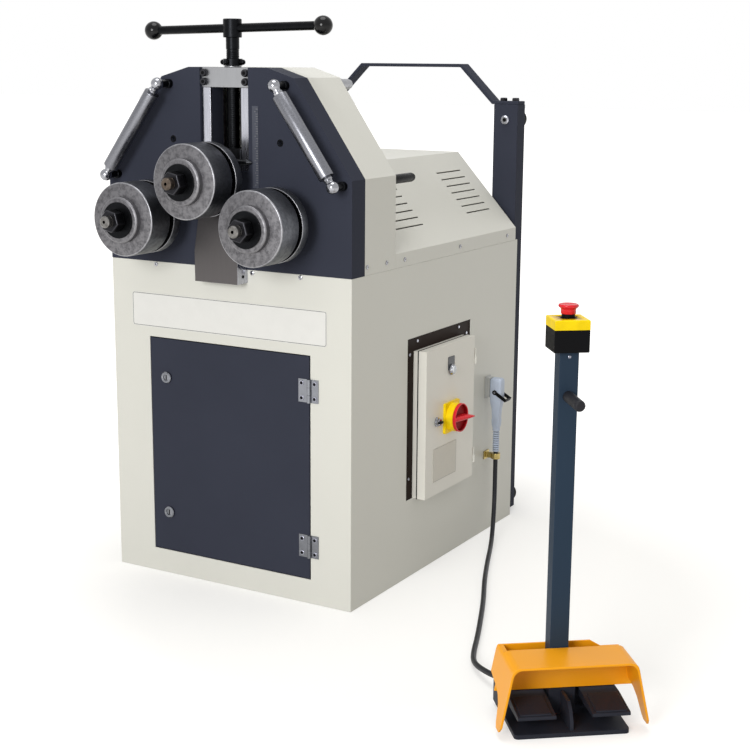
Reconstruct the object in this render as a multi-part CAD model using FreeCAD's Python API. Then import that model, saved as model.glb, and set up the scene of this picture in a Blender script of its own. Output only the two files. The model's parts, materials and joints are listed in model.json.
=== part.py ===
import FreeCAD, Part
import math
import os

from FreeCAD import Placement, Rotation, Vector

# Ring roller with a floor cabinet, a three-roll head, rear columns and a foot control on a cable.
# Millimetres. +X is the operator's right, -Y the operator's side, +Z up.
# The origin is the middle of the cabinet's footprint, on the floor.

# ---- clearances ----
RUNNING_FIT = 0.05      # radial, shaft in bearing
SEAT_FIT = 0.02         # radial, ring on shaft or nut on thread
SLIDE_GAP = 0.3         # carriage in its slot and other sliding or turning faces
PANEL_GAP = 2.0         # door to frame

# ---- cabinet ----
CABINET_WIDTH = 620.0
CABINET_DEPTH = 800.0
CABINET_HEIGHT = 712.0
CABINET_SHEET = 3.0
FLOOR_PLATE = 8.0
DECK_THICKNESS = 12.0
ANCHOR_INSET = 50.0     # hole middles from the cabinet's sides
ANCHOR_HOLE = 7.0

# ---- cabinet door ----
DOOR_WIDTH = 416.0
DOOR_HEIGHT = 486.0
DOOR_BOTTOM = 56.0
DOOR_SHEET = 2.0
DOOR_FLANGE = 20.0
HINGE_HEIGHT = 50.0
HINGE_DOOR_LEAF = 23.0
HINGE_FRAME_LEAF = 18.0
HINGE_LEAF_THICKNESS = 2.0
HINGE_BARREL = 4.0
HINGE_PIN = 1.8
HINGE_INSET = 73.0      # hinge middle from the door's top or bottom edge
LOCK_RADIUS = 11.0
LOCK_INSET = 44.0       # lock axis from the door's free edge
LOCK_HEIGHTS = (90.0, 400.0)

# ---- roll head ----
PLATE_THICKNESS = 52.0
HEAD_HEIGHT = 416.0
HEAD_SIDE_HEIGHT = 197.0
HEAD_SHOULDER_DROP = 20.0
HEAD_TOP_LEFT = 90.0
HEAD_TOP_RIGHT = 108.0
HEAD_SHOULDER_LEFT = 161.0
HEAD_SHOULDER_RIGHT = 172.0
HEAD_DEPTH = 179.0
HOUSING_SHEET = 3.0
REAR_PLATE_THICKNESS = 18.0
REAR_PLATE_HALF = 280.0
SLOT_WIDTH = 77.0
BRIDGE_WIDTH = 121.0
BRIDGE_HEIGHT = 41.0
RECESS_HALF = 61.0      # channel in the plate for the bridge and the rails
RECESS_DEPTH = 12.0
BRIDGE_SETBACK = 6.0
RAIL_WIDTH = 20.0
RAIL_THICKNESS = 5.5
RAIL_LENGTH = 170.0
PLATE_HOLES = ((-133.0, 978.0), (139.0, 978.0))

# ---- rolls ----
ROLL_RADIUS = 77.0
ROLL_SPACING = 320.0    # between the lower roll axes
ROLL_LEVEL = 105.0      # lower roll axes above the cabinet
UPPER_RISE = 85.0       # upper roll axis above the lower ones
ROLL_CHAMFER = 2.5
FRONT_RING = 61.0
SPACER_RING = 13.0
SPACER_RADIUS = 66.0
REAR_RING = 22.0
ROLL_STANDOFF = 46.0    # rear ring's back face to the front plate
BACK_SPACER_RADIUS = 27.0
COLLAR_RADIUS = 48.0
COLLAR_THICKNESS = 14.0
WASHER_RADIUS = 37.5
WASHER_THICKNESS = 4.0
NUT_ACROSS = 42.0
NUT_THICKNESS = 26.0
THREAD_RADIUS = 12.5
THREAD_PROUD = 1.0      # thread seen in front of the nut, before the plain end
END_RADIUS = 12.3
THREAD_LENGTH = 45.0    # roll face's collar to the shaft's free end
SHAFT_RADIUS = 17.5
BEARING_RADIUS = 36.0
BEARING_WIDTH = 30.0

# ---- carriage and feed screw ----
CARRIAGE_ABOVE = 60.0
CARRIAGE_BELOW = 55.0
CARRIAGE_FLANGE = 12.0
CARRIAGE_OVERLAP = 16.0
BUSH_RADIUS = 24.0
TRAVEL_DOWN = 40.0
TRAVEL_UP = 95.0
SCREW_RADIUS = 14.0
SCREW_INSET = 34.0      # screw axis behind the plate's front face
SCREW_SEAT = 25.0
SCREW_ABOVE_BRIDGE = 60.0
LOCK_WASHER = 3.0
LOCK_NUT_RADIUS = 20.0
LOCK_NUT_HEIGHT = 14.0
LUG_REACH = 31.0
LUG_RADIUS = 5.5
POINTER_RISE = 34.5     # scale pointer above the upper roll's axis
POINTER_RADIUS = 6.0
POINTER_TIP = 74.0
POINTER_STANDOFF = 8.0  # its axis in front of the plate
HUB_RADIUS = 19.5
HUB_HEIGHT = 38.0
HANDLE_RADIUS = 9.0
HANDLE_REACH = 213.0
HANDLE_SLIDE = 8.0
HANDLE_LEAN = 4.5       # rise of the loose bar from the hub to its right end
BALL_RADIUS = 19.5

# ---- drive ----
GEAR_MODULE = 5.0
GEAR_TEETH = 42
PINION_TEETH = 23
GEAR_WIDTH = 30.0
TOOTH_DEPTH = 7.0
PINION_SHAFT_RADIUS = 15.0
GEARBOX_WIDTH = 160.0
GEARBOX_LENGTH = 118.0
GEARBOX_HEIGHT = 188.0
MOTOR_RADIUS = 84.0
MOTOR_LENGTH = 260.0
MOTOR_CLEARANCE = 14.0

# ---- slanting bars on the plate ----
BAR_RADIUS = 16.0
BAR_STANDOFF = 42.0
BAR_PIN_RADIUS = 8.0
BAR_BALL_RADIUS = 13.0
BAR_NECK_RADIUS = 9.0
BAR_NECK = 10.0
BAR_TOP_LEFT = 140.0
BAR_TOP_RIGHT = 153.0
BAR_BOTTOM_LEFT = 285.0
BAR_BOTTOM_RIGHT = 290.0
BAR_TOP_DROP = 35.0
BAR_BOTTOM_RISE = 186.0
SLEEVE_RADIUS = 13.0
SLEEVE_LENGTH = 68.0
GRIP_RADIUS = 10.0
GRIP_LENGTH = 108.0

# ---- drop guard ----
GUARD_HALF = 55.0
GUARD_STANDOFF = 37.0
GUARD_SHEET = 2.0
GUARD_DROP = 28.0       # below the cabinet's top edge
GUARD_BEND = 38.0       # bend above the cabinet's top edge
GUARD_TOP = 113.0
GUARD_LEAN = 17.0       # how far back the tongue's top is from its foot
GUARD_CORNER = 6.0

# ---- rear cover ----
COVER_RIDGE_HALF = 147.0
COVER_RISE = 210.0
COVER_FLANGE = 31.0
COVER_SHEET = 2.0
COVER_END_GAP = 12.0
COVER_HEAD_GAP = 0.5
VENT_WIDTH = 3.0
VENT_LENGTH = 125.0
VENT_ROWS = 7
VENT_PITCH = 20.2
VENT_GROUPS = ((-148.0, 59.0), (203.5, 66.0))   # first end, and lowest row's distance up the slope

# ---- rear columns, strap handle and feet ----
COLUMN_WIDTH = 64.0
COLUMN_DEPTH = 44.0
COLUMN_WALL = 3.0
COLUMN_INSET = 9.0      # outer face in from the cabinet's side
COLUMN_BOTTOM = 12.0
COLUMN_TOP = 1040.0
STRAP_THICKNESS = 8.0
STRAP_WIDTH = 40.0
STRAP_RISE = 88.0
STRAP_HALF = 144.0
FOOT_RADIUS = 23.0
FOOT_HEIGHT = 40.0
FOOT_HEIGHTS = (36.0, 1003.0)

# ---- electric box ----
ENCLOSURE_WIDTH = 236.0
ENCLOSURE_HEIGHT = 336.0
ENCLOSURE_DEPTH = 130.0
ENCLOSURE_Y = -9.0
ENCLOSURE_Z = 350.0
ENCLOSURE_WALL = 2.0
ENCLOSURE_PROUD = 9.0
OPENING_WIDTH = 308.0
OPENING_TOP = 549.0
OPENING_BOTTOM = 182.0
OPENING_Y = -6.0
FRAME_OVERLAP = 10.0
FRAME_SHEET = 3.0
BOX_DOOR_DEPTH = 20.0
BOX_DOOR_MARGIN = 1.0
BOX_DOOR_GAP = 1.0
CONTROL_Y = -10.0
LAMP_Z = 460.0
LAMP_RADIUS = 11.0
SWITCH_Z = 351.0
SWITCH_PLATE = 70.0
SWITCH_RADIUS = 33.0
SWITCH_BASE = 22.0
KNOB_DISC = 8.0
KNOB_GRIP = 18.0
LATCH_Y = -76.0
LATCH_RADIUS = 9.0

# ---- connector on the cabinet's right side ----
CONNECTOR_Y = 246.0
CONNECTOR_X = 27.0      # plug's middle out from the cabinet's side
CONNECTOR_TOP = 392.0
PLUG_LENGTH = 122.0
PLUG_HALF_WIDTH = 12.0
PLUG_HALF_DEPTH = 15.0
PLUG_NARROW = 9.0
SLEEVE_TOP_RADIUS = 9.5
CABLE_SLEEVE = 62.0
CABLE_RADIUS = 5.5
SOCKET_HEIGHT = 48.0
SOCKET_FLANGE = 3.0
LEVER_PIVOT_X = 26.6    # out from the cabinet's side
LEVER_PIVOT_DROP = 34.0  # below the plug's top
LEVER_PIN = 2.5
LEVER_EYE = 4.0
LEVER_REACH = 35.0
LEVER_SLOPE = 30.0
LEVER_SHEET = 3.0
CLIP_Z = 190.0
CLIP_HEIGHT = 14.0

# ---- foot control, in its own frame: x right, y back, from the middle of its front edge ----
PEDESTAL_REACH = 630.0  # out from the cabinet's right side
PEDESTAL_Y = -702.0
PEDESTAL_TURN = 38.0
BASE_HALF = 103.0
BASE_DEPTH = 152.0
BASE_THICKNESS = 8.0
BLOCK_HALF = 108.0
BLOCK_FRONT = 112.0
BLOCK_BACK = 150.0
BLOCK_TOP = 56.0
SEAT_FRONT = 78.0
SEAT_HALF = 24.0
HOOD_TOP = 130.0
HOOD_TOP_LEFT = 108.0
HOOD_TOP_RIGHT = 113.0
HOOD_FOOT_LEFT = 131.0
HOOD_FOOT_RIGHT = 139.0
HOOD_BEVEL = 13.0
HOOD_WALL = 4.0
HOOD_DEPTH = 127.0
HOOD_FOOT_GAP = 12.0
POST_SIZE = 34.0
POST_X = -5.0
POST_WALL = 3.0
POST_HEIGHT = 664.0
POST_GRIP_RADIUS = 10.0
POST_GRIP_LENGTH = 77.0
POST_GRIP_Z = 586.0
STOP_BOX_SIZE = 62.0
STOP_BOX_LOWER = 39.0
STOP_BOX_UPPER = 17.0
STOP_BOX_WALL = 3.0
STOP_BOX_BEVEL = 1.5
STOP_COLLAR_RADIUS = 14.0
STOP_COLLAR = 1.0
STOP_STEM_RADIUS = 11.5
STOP_STEM = 5.6         # stem seen between collar and button head
STOP_HEAD_RADIUS = 13.0
STOP_HEAD = 8.0
STOP_CAP_RADIUS = 17.4
STOP_CAP = 9.0
STOP_TRAVEL = 5.0
PEDAL_WIDTH = 68.0
PEDAL_LENGTH = 102.0
PEDAL_THICKNESS = 7.0
PEDAL_LEVEL = 33.0
PEDAL_RISE = 8.0        # heel of the tread above its front edge
LEFT_PEDAL_X = -64.0
RIGHT_PEDAL_X = 69.0
PEDAL_PIVOT_RADIUS = 3.0
GLAND_LENGTH = 16.0
GLAND_RADIUS = 10.0
GLAND_X = -85.0
GLAND_Z = 28.0
MAINS_INSET = 37.0      # mains gland's middle from the left column's inner side
MAINS_Z = 120.0

# ---- plates and panel screws ----
PANEL_SCREW_INSET = 123.0
PANEL_SCREW_HALF = 67.0
PLATE_SHEET = 1.0
NAME_PLATE_MARGIN = 55.0
NAME_PLATE_DROP = 71.0
NAME_PLATE_HEIGHT = 75.0
SCALE_GAP = 10.0
SCALE_WIDTH = 15.0
SCALE_BELOW = 18.0      # strip's ends from the upper roll's axis
SCALE_ABOVE = 149.0
RATING_SHEET = 0.8
RATING_WIDTH = 114.0
RATING_HEIGHT = 78.0
RATING_LEFT = 83.0      # left edge from the electric box's middle
RATING_DROP = 138.0     # lower edge below the electric box's middle

# ---- places worked out from the sizes above ----
HALF_WIDTH = CABINET_WIDTH / 2
ANCHOR_SPACING_X = CABINET_WIDTH - 2 * ANCHOR_INSET
ANCHOR_SPACING_Y = CABINET_DEPTH - 2 * ANCHOR_INSET
FRONT = -CABINET_DEPTH / 2
BACK = CABINET_DEPTH / 2
PLATE_BACK = FRONT + PLATE_THICKNESS
HEAD_BACK = FRONT + HEAD_DEPTH
HEAD_TOP = CABINET_HEIGHT + HEAD_HEIGHT
ROLL_Z = CABINET_HEIGHT + ROLL_LEVEL
UPPER_Z = ROLL_Z + UPPER_RISE
ROLL_BACK = FRONT - ROLL_STANDOFF
ROLL_FACE = ROLL_BACK - REAR_RING - SPACER_RING - FRONT_RING
COLLAR_FACE = ROLL_FACE - COLLAR_THICKNESS
SHAFT_END = COLLAR_FACE - THREAD_LENGTH
BRIDGE_BOTTOM = HEAD_TOP - BRIDGE_HEIGHT
BRIDGE_FACE = FRONT + BRIDGE_SETBACK
SCREW_Y = FRONT + SCREW_INSET
CARRIAGE_TOP = UPPER_Z + CARRIAGE_ABOVE
SLOT_BOTTOM = UPPER_Z - CARRIAGE_BELOW - TRAVEL_DOWN - 2.0
REAR_PLATE_FRONT = HEAD_BACK - HOUSING_SHEET - REAR_PLATE_THICKNESS
GEAR_FRONT = PLATE_BACK + 24.0
GEAR_RADIUS = GEAR_MODULE * GEAR_TEETH / 2
PINION_RADIUS = GEAR_MODULE * PINION_TEETH / 2
PINION_Z = ROLL_Z - math.sqrt((GEAR_RADIUS + PINION_RADIUS) ** 2 - (ROLL_SPACING / 2) ** 2)
GEARBOX_FRONT = HEAD_BACK + 6.0
MOTOR_Z = CABINET_HEIGHT + MOTOR_CLEARANCE + MOTOR_RADIUS
COVER_FRONT = HEAD_BACK + COVER_HEAD_GAP
COVER_BACK = BACK - COVER_END_GAP
COLUMN_MIDDLE = HALF_WIDTH - COLUMN_INSET - COLUMN_WIDTH / 2
STRAP_TOP = COLUMN_TOP + STRAP_THICKNESS
DOOR_HALF = DOOR_WIDTH / 2
DOOR_TOP = DOOR_BOTTOM + DOOR_HEIGHT
HINGE_X = DOOR_HALF + PANEL_GAP / 2
HINGE_Y = FRONT - HINGE_BARREL
ENCLOSURE_FACE = HALF_WIDTH + ENCLOSURE_PROUD
BOX_DOOR_BACK = ENCLOSURE_FACE + BOX_DOOR_GAP
BOX_DOOR_FACE = BOX_DOOR_BACK + BOX_DOOR_DEPTH
BOX_DOOR_HALF = ENCLOSURE_WIDTH / 2 + BOX_DOOR_MARGIN
BOX_HINGE_Y = ENCLOSURE_Y + BOX_DOOR_HALF + HINGE_BARREL + 1.0
PLUG_X = HALF_WIDTH + CONNECTOR_X
PLUG_BOTTOM = CONNECTOR_TOP - PLUG_LENGTH
CABLE_START_Z = PLUG_BOTTOM - CABLE_SLEEVE
PEDESTAL_X = HALF_WIDTH + PEDESTAL_REACH
POST_FRONT = SEAT_FRONT + 9.0
POST_MIDDLE = POST_FRONT + POST_SIZE / 2
PEDAL_PIVOT_Y = PEDAL_LENGTH + 4.0
PEDAL_PIVOT_Z = PEDAL_LEVEL + PEDAL_THICKNESS / 2
GLAND_END = BLOCK_BACK + GLAND_LENGTH

# The foot cable: a free cable from the plug's sleeve down to the floor and over to the foot control.
# Each point gives x out from the cabinet's right side, as a length and a share of the foot control's
# reach, then y and z.
CABLE_POINTS = [
    (CONNECTOR_X, 0.0, CONNECTOR_Y, CABLE_START_Z),
    (CONNECTOR_X, 0.0, CONNECTOR_Y, CABLE_START_Z - 62.0),
    (29.5, 0.0, 240.5, 76.0),
    (47.0, 0.0, 196.0, 16.0),
    (-50.0, 0.2, 126.0, 5.6),
    (-141.0, 0.4, 37.0, 5.6),
    (-215.0, 0.6, -88.0, 5.6),
    (-225.0, 0.7, -202.0, 5.6),
    (-243.0, 0.8, -309.0, 5.6),
    (-269.0, 0.9, -400.0, 5.6),
    (-306.0, 1.0, -470.0, 6.0),
    (-276.0, 1.0, -531.0, 12.0),
    (-226.0, 1.0, -577.0, 22.0),
    (-187.65, 1.0, -599.88, 28.0),
    (-169.18, 1.0, -623.52, 28.0),
]
CABLE_ROUTE = [(HALF_WIDTH + x + share * PEDESTAL_REACH, y, z) for x, share, y, z in CABLE_POINTS]


# ---- shapes ----
def box(x, y, z):
    corner = Vector(min(x), min(y), min(z))
    return Part.makeBox(abs(x[1] - x[0]), abs(y[1] - y[0]), abs(z[1] - z[0]), corner)


def rod(radius, start, end):
    start, end = Vector(*start), Vector(*end)
    return Part.makeCylinder(radius, (end - start).Length, start, end - start)


def tube(outer, inner, start, end):
    return rod(outer, start, end).cut(rod(inner, start, end))


def taper(start_radius, end_radius, start, end):
    start, end = Vector(*start), Vector(*end)
    return Part.makeCone(start_radius, end_radius, (end - start).Length, start, end - start)


def ball(radius, centre):
    return Part.makeSphere(radius, Vector(*centre))


def flat_face(points):
    corners = [Vector(*p) for p in points]
    return Part.Face(Part.makePolygon(corners + corners[:1]))


def prism(points, sweep):
    return flat_face(points).extrude(Vector(*sweep))


def hexagon(across, start, end):
    """A hexagonal bar from start to end, both on its axis."""
    axis = Vector(*end) - Vector(*start)
    side = Z_SIDE if abs(axis.x) + abs(axis.y) > abs(axis.z) else X_SIDE
    spoke = side * (across / 2 / math.cos(math.pi / 6))
    turn = Rotation(axis, 60)
    corners = []
    for _ in range(6):
        corners.append(tuple(Vector(*start) + spoke))
        spoke = turn.multVec(spoke)
    return prism(corners, tuple(axis))


def lathe(profile, x, z):
    """Turns a profile of (radius, y) points about the Y axis through x, z."""
    face = flat_face([(x + radius, y, z) for radius, y in profile])
    return face.revolve(Vector(x, 0, z), Vector(0, 1, 0), 360)


def ribbon(path, thickness, depth):
    """A bent flat bar: the path is its top line in X and Z, the bar lies below it and spans depth in Y."""
    below = []
    for i, (x, z) in enumerate(path):
        before = path[max(i - 1, 0)]
        after = path[min(i + 1, len(path) - 1)]
        first = math.atan2(z - before[1], x - before[0]) if i else None
        last = math.atan2(after[1] - z, after[0] - x) if i < len(path) - 1 else first
        first = last if first is None else first
        middle = (first + last) / 2
        reach = thickness / math.cos((last - first) / 2)
        below.append((x + reach * math.sin(middle), z - reach * math.cos(middle)))
    outline = [(x, depth[0], z) for x, z in path + below[::-1]]
    return prism(outline, (0, depth[1] - depth[0], 0))


def merge(shapes):
    whole = shapes[0]
    for shape in shapes[1:]:
        whole = whole.fuse(shape)
    return whole.removeSplitter()


X_SIDE = Vector(1, 0, 0)
Z_SIDE = Vector(0, 0, 1)
NODES = {}


def save(name, *solids):
    NODES[name] = list(solids)


# ---- cabinet ----
def cabinet():
    inner = HALF_WIDTH - CABINET_SHEET
    outside = box((-HALF_WIDTH, HALF_WIDTH), (FRONT, BACK), (0, CABINET_HEIGHT))
    inside = box((-inner, inner), (FRONT + CABINET_SHEET, BACK - CABINET_SHEET), (0, CABINET_HEIGHT))
    door_hole = box((-DOOR_HALF - PANEL_GAP, DOOR_HALF + PANEL_GAP), (FRONT, FRONT + CABINET_SHEET),
                    (DOOR_BOTTOM - PANEL_GAP, DOOR_TOP + PANEL_GAP))
    box_hole = box((inner, HALF_WIDTH),
                   (OPENING_Y - OPENING_WIDTH / 2, OPENING_Y + OPENING_WIDTH / 2),
                   (OPENING_BOTTOM, OPENING_TOP))
    save("cabinet_shell", outside.cut(inside).cut(door_hole).cut(box_hole))

    floor = box((-inner, inner), (FRONT + CABINET_SHEET, BACK - CABINET_SHEET), (0, FLOOR_PLATE))
    for x in (-ANCHOR_SPACING_X / 2, ANCHOR_SPACING_X / 2):
        for y in (-ANCHOR_SPACING_Y / 2, ANCHOR_SPACING_Y / 2):
            floor = floor.cut(rod(ANCHOR_HOLE, (x, y, 0), (x, y, FLOOR_PLATE)))
    deck_bottom = CABINET_HEIGHT - DECK_THICKNESS
    deck = box((-inner, inner), (FRONT + CABINET_SHEET, BACK - CABINET_SHEET),
               (deck_bottom, CABINET_HEIGHT))
    gear_well = box((-inner + 25, inner - 25), (GEAR_FRONT - 10, GEAR_FRONT + GEAR_WIDTH + 10),
                    (deck_bottom, CABINET_HEIGHT))
    save("cabinet_frame", floor, deck.cut(gear_well))


def cabinet_door():
    back = FRONT + DOOR_FLANGE
    tray = box((-DOOR_HALF, DOOR_HALF), (FRONT, back), (DOOR_BOTTOM, DOOR_TOP))
    hollow = box((-DOOR_HALF + DOOR_SHEET, DOOR_HALF - DOOR_SHEET), (FRONT + DOOR_SHEET, back),
                 (DOOR_BOTTOM + DOOR_SHEET, DOOR_TOP - DOOR_SHEET))
    door = tray.cut(hollow)
    lock_x = -DOOR_HALF + LOCK_INSET
    names = ("lower_door_lock", "upper_door_lock")
    for name, height in zip(names, LOCK_HEIGHTS):
        z = DOOR_BOTTOM + height
        door = door.cut(rod(LOCK_RADIUS + SLIDE_GAP, (lock_x, FRONT, z), (lock_x, back, z)))
        head = rod(LOCK_RADIUS + 2, (lock_x, FRONT - 4, z), (lock_x, FRONT - SLIDE_GAP, z))
        barrel = rod(LOCK_RADIUS, (lock_x, FRONT - SLIDE_GAP, z), (lock_x, back + 1, z))
        cam = box((lock_x - 8, lock_x + 8), (back + 1, back + 4), (z - 10, z + LOCK_INSET + 8))
        save(name, merge([head, barrel, cam]))
    fixed, moving = [], []
    for z in (DOOR_BOTTOM + HINGE_INSET, DOOR_TOP - HINGE_INSET):
        leaf_y = (FRONT - HINGE_LEAF_THICKNESS, FRONT)
        low, high = z - HINGE_HEIGHT / 2, z + HINGE_HEIGHT / 2
        knuckle = HINGE_HEIGHT / 3
        axis = (HINGE_X, HINGE_Y)
        pin = rod(HINGE_PIN, (*axis, low), (*axis, high))
        span = (low + knuckle, high - knuckle)
        right_leaf = box((HINGE_X + HINGE_BARREL, HINGE_X + HINGE_BARREL + HINGE_FRAME_LEAF),
                         leaf_y, (low, high))
        for ends in ((low, span[0]), (span[1], high)):
            barrel = tube(HINGE_BARREL, HINGE_PIN, (*axis, ends[0]), (*axis, ends[1]))
            arm = box((HINGE_X + HINGE_BARREL / 2, HINGE_X + HINGE_BARREL + 1), leaf_y, ends)
            arm = arm.cut(rod(HINGE_PIN, (*axis, ends[0]), (*axis, ends[1])))
            right_leaf = right_leaf.fuse(barrel).fuse(arm)
        fixed += [right_leaf.removeSplitter(), pin]
        ends = (span[0] + SLIDE_GAP, span[1] - SLIDE_GAP)
        bore = rod(HINGE_PIN + RUNNING_FIT, (*axis, ends[0]), (*axis, ends[1]))
        barrel = rod(HINGE_BARREL, (*axis, ends[0]), (*axis, ends[1]))
        arm = box((HINGE_X - HINGE_BARREL - 1, HINGE_X - HINGE_BARREL / 2), leaf_y, ends)
        left_leaf = box((HINGE_X - HINGE_BARREL - HINGE_DOOR_LEAF, HINGE_X - HINGE_BARREL),
                        leaf_y, (low, high))
        moving.append(merge([left_leaf, arm, barrel]).cut(bore))
    save("cabinet_door", door, *moving)
    return fixed


# ---- roll head ----
def head_outline(y):
    """The head's outline: straight sides, two slanting shoulders and a flat top."""
    side_top = CABINET_HEIGHT + HEAD_SIDE_HEIGHT
    shoulder = HEAD_TOP - HEAD_SHOULDER_DROP
    corners = [
        (-HALF_WIDTH, CABINET_HEIGHT),
        (-HALF_WIDTH, side_top),
        (-HEAD_SHOULDER_LEFT, shoulder),
        (-HEAD_TOP_LEFT, HEAD_TOP),
        (HEAD_TOP_RIGHT, HEAD_TOP),
        (HEAD_SHOULDER_RIGHT, shoulder),
        (HALF_WIDTH, side_top),
        (HALF_WIDTH, CABINET_HEIGHT),
    ]
    return flat_face([(x, y, z) for x, z in corners])


def bar_ends():
    """Top and bottom pin places of the two slanting bars, as (x, z)."""
    top = HEAD_TOP - BAR_TOP_DROP
    bottom = CABINET_HEIGHT + BAR_BOTTOM_RISE
    left = ((-BAR_TOP_LEFT, top), (-BAR_BOTTOM_LEFT, bottom))
    right = ((BAR_TOP_RIGHT, top), (BAR_BOTTOM_RIGHT, bottom))
    return left, right


def head():
    plate = head_outline(FRONT).extrude(Vector(0, PLATE_THICKNESS, 0))
    slot = box((-SLOT_WIDTH / 2, SLOT_WIDTH / 2), (FRONT, PLATE_BACK), (SLOT_BOTTOM, HEAD_TOP))
    recess = box((-RECESS_HALF, RECESS_HALF), (FRONT, FRONT + RECESS_DEPTH),
                 (BRIDGE_BOTTOM - RAIL_LENGTH, HEAD_TOP))
    plate = plate.cut(slot).cut(recess)
    for x, z in PLATE_HOLES:
        plate = plate.cut(rod(5, (x, FRONT, z), (x, FRONT + 20, z)))
    rear_plate = box((-REAR_PLATE_HALF, REAR_PLATE_HALF),
                     (REAR_PLATE_FRONT, REAR_PLATE_FRONT + REAR_PLATE_THICKNESS),
                     (CABINET_HEIGHT, ROLL_Z + BEARING_RADIUS + 30))
    bearings = []
    for x in (-ROLL_SPACING / 2, ROLL_SPACING / 2):
        for y, width in ((FRONT + 6, BEARING_WIDTH), (REAR_PLATE_FRONT, REAR_PLATE_THICKNESS)):
            start, end = (x, y, ROLL_Z), (x, y + width, ROLL_Z)
            bearings.append(tube(BEARING_RADIUS, SHAFT_RADIUS + RUNNING_FIT, start, end))
        plate = plate.cut(rod(BEARING_RADIUS, (x, FRONT + 6, ROLL_Z), (x, PLATE_BACK, ROLL_Z)))
        plate = plate.cut(rod(SHAFT_RADIUS + 1.5, (x, FRONT, ROLL_Z), (x, PLATE_BACK, ROLL_Z)))
        rear_plate = rear_plate.cut(rod(BEARING_RADIUS, (x, REAR_PLATE_FRONT, ROLL_Z),
                                        (x, HEAD_BACK, ROLL_Z)))
    shaft_hole = rod(PINION_SHAFT_RADIUS + 3, (0, REAR_PLATE_FRONT, PINION_Z), (0, HEAD_BACK, PINION_Z))
    rear_plate = rear_plate.cut(shaft_hole)

    shell = head_outline(PLATE_BACK).extrude(Vector(0, HEAD_BACK - PLATE_BACK, 0))
    room_face = head_outline(PLATE_BACK).makeOffset2D(-HOUSING_SHEET, join=2)
    room = room_face.extrude(Vector(0, HEAD_BACK - HOUSING_SHEET - PLATE_BACK, 0))
    below = box((-HALF_WIDTH + HOUSING_SHEET, HALF_WIDTH - HOUSING_SHEET),
                (PLATE_BACK, HEAD_BACK - HOUSING_SHEET), (CABINET_HEIGHT, CABINET_HEIGHT + 10))
    housing = shell.cut(room).cut(below).cut(shaft_hole)

    pins, bars, caps = [], [], []
    bar_y = FRONT - BAR_STANDOFF
    for ends in bar_ends():
        (top_x, top_z), (low_x, low_z) = ends
        along = Vector(low_x - top_x, 0, low_z - top_z)
        unit = along * (1 / along.Length)
        necks = []
        for (x, z), sign in zip(ends, (1, -1)):
            neck_end = Vector(x, bar_y, z) + unit * (sign * (BAR_BALL_RADIUS + BAR_NECK))
            necks.append(neck_end)
            is_top = sign > 0
            tail = HEAD_BACK + (SLEEVE_LENGTH if is_top else GRIP_LENGTH) - 30
            pin = merge([rod(BAR_PIN_RADIUS, (x, bar_y, z), (x, tail, z)),
                         ball(BAR_BALL_RADIUS, (x, bar_y, z)),
                         rod(BAR_NECK_RADIUS, (x, bar_y, z), tuple(neck_end))])
            pins.append(pin)
            hole = rod(BAR_PIN_RADIUS, (x, FRONT, z), (x, HEAD_BACK, z))
            plate = plate.cut(hole)
            housing = housing.cut(hole)
            radius = SLEEVE_RADIUS if is_top else GRIP_RADIUS
            cap = rod(radius, (x, HEAD_BACK, z), (x, tail + 30, z))
            caps.append(cap.cut(rod(BAR_PIN_RADIUS, (x, HEAD_BACK, z), (x, tail, z))))
        bars.append(rod(BAR_RADIUS, tuple(necks[0]), tuple(necks[1])))
    save("front_plate", plate)
    save("rear_bearing_plate", rear_plate)
    save("head_housing", housing)
    save("lower_bearings", *bearings)
    save("bar_pins", *pins, *caps)
    save("slanting_bars", *bars)

    seat = FRONT + RECESS_DEPTH
    bridge = merge([
        box((-BRIDGE_WIDTH / 2, BRIDGE_WIDTH / 2), (BRIDGE_FACE, seat), (BRIDGE_BOTTOM, HEAD_TOP)),
        box((-SLOT_WIDTH / 2, SLOT_WIDTH / 2), (seat, PLATE_BACK), (BRIDGE_BOTTOM, HEAD_TOP)),
    ])
    bore = rod(SCREW_RADIUS + SLIDE_GAP, (0, SCREW_Y, BRIDGE_BOTTOM), (0, SCREW_Y, HEAD_TOP))
    washer_top = HEAD_TOP + LOCK_WASHER
    washer = rod(LOCK_NUT_RADIUS - 2, (0, SCREW_Y, HEAD_TOP), (0, SCREW_Y, washer_top))
    washer = washer.cut(rod(SCREW_RADIUS + SLIDE_GAP, (0, SCREW_Y, HEAD_TOP), (0, SCREW_Y, washer_top)))
    save("bridge_plate", bridge.cut(bore), washer)
    rails = []
    for side in (-1, 1):
        inner, outer = side * SLOT_WIDTH / 2, side * (SLOT_WIDTH / 2 + RAIL_WIDTH)
        rails.append(box((inner, outer), (seat - RAIL_THICKNESS, seat),
                         (BRIDGE_BOTTOM - RAIL_LENGTH, BRIDGE_BOTTOM)))
    save("guide_rails", *rails)


def drop_guard():
    front = FRONT - GUARD_STANDOFF
    low = CABINET_HEIGHT - GUARD_DROP
    bend = CABINET_HEIGHT + GUARD_BEND
    top = CABINET_HEIGHT + GUARD_TOP
    lean = GUARD_LEAN / (top - bend)
    slope = [(GUARD_HALF, bend), (GUARD_HALF, top - GUARD_CORNER), (GUARD_HALF - GUARD_CORNER, top)]
    slope += [(-half, z) for half, z in slope[::-1]]
    tongue = prism([(x, front + (z - bend) * lean, z) for x, z in slope], (0, GUARD_SHEET, 0))
    face = box((-GUARD_HALF, GUARD_HALF), (front, front + GUARD_SHEET), (low, bend))
    sides = [box((side * GUARD_HALF, side * (GUARD_HALF - GUARD_SHEET)), (front, FRONT), (low, bend))
             for side in (-1, 1)]
    save("drop_guard", merge([face, tongue, *sides]))


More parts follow.
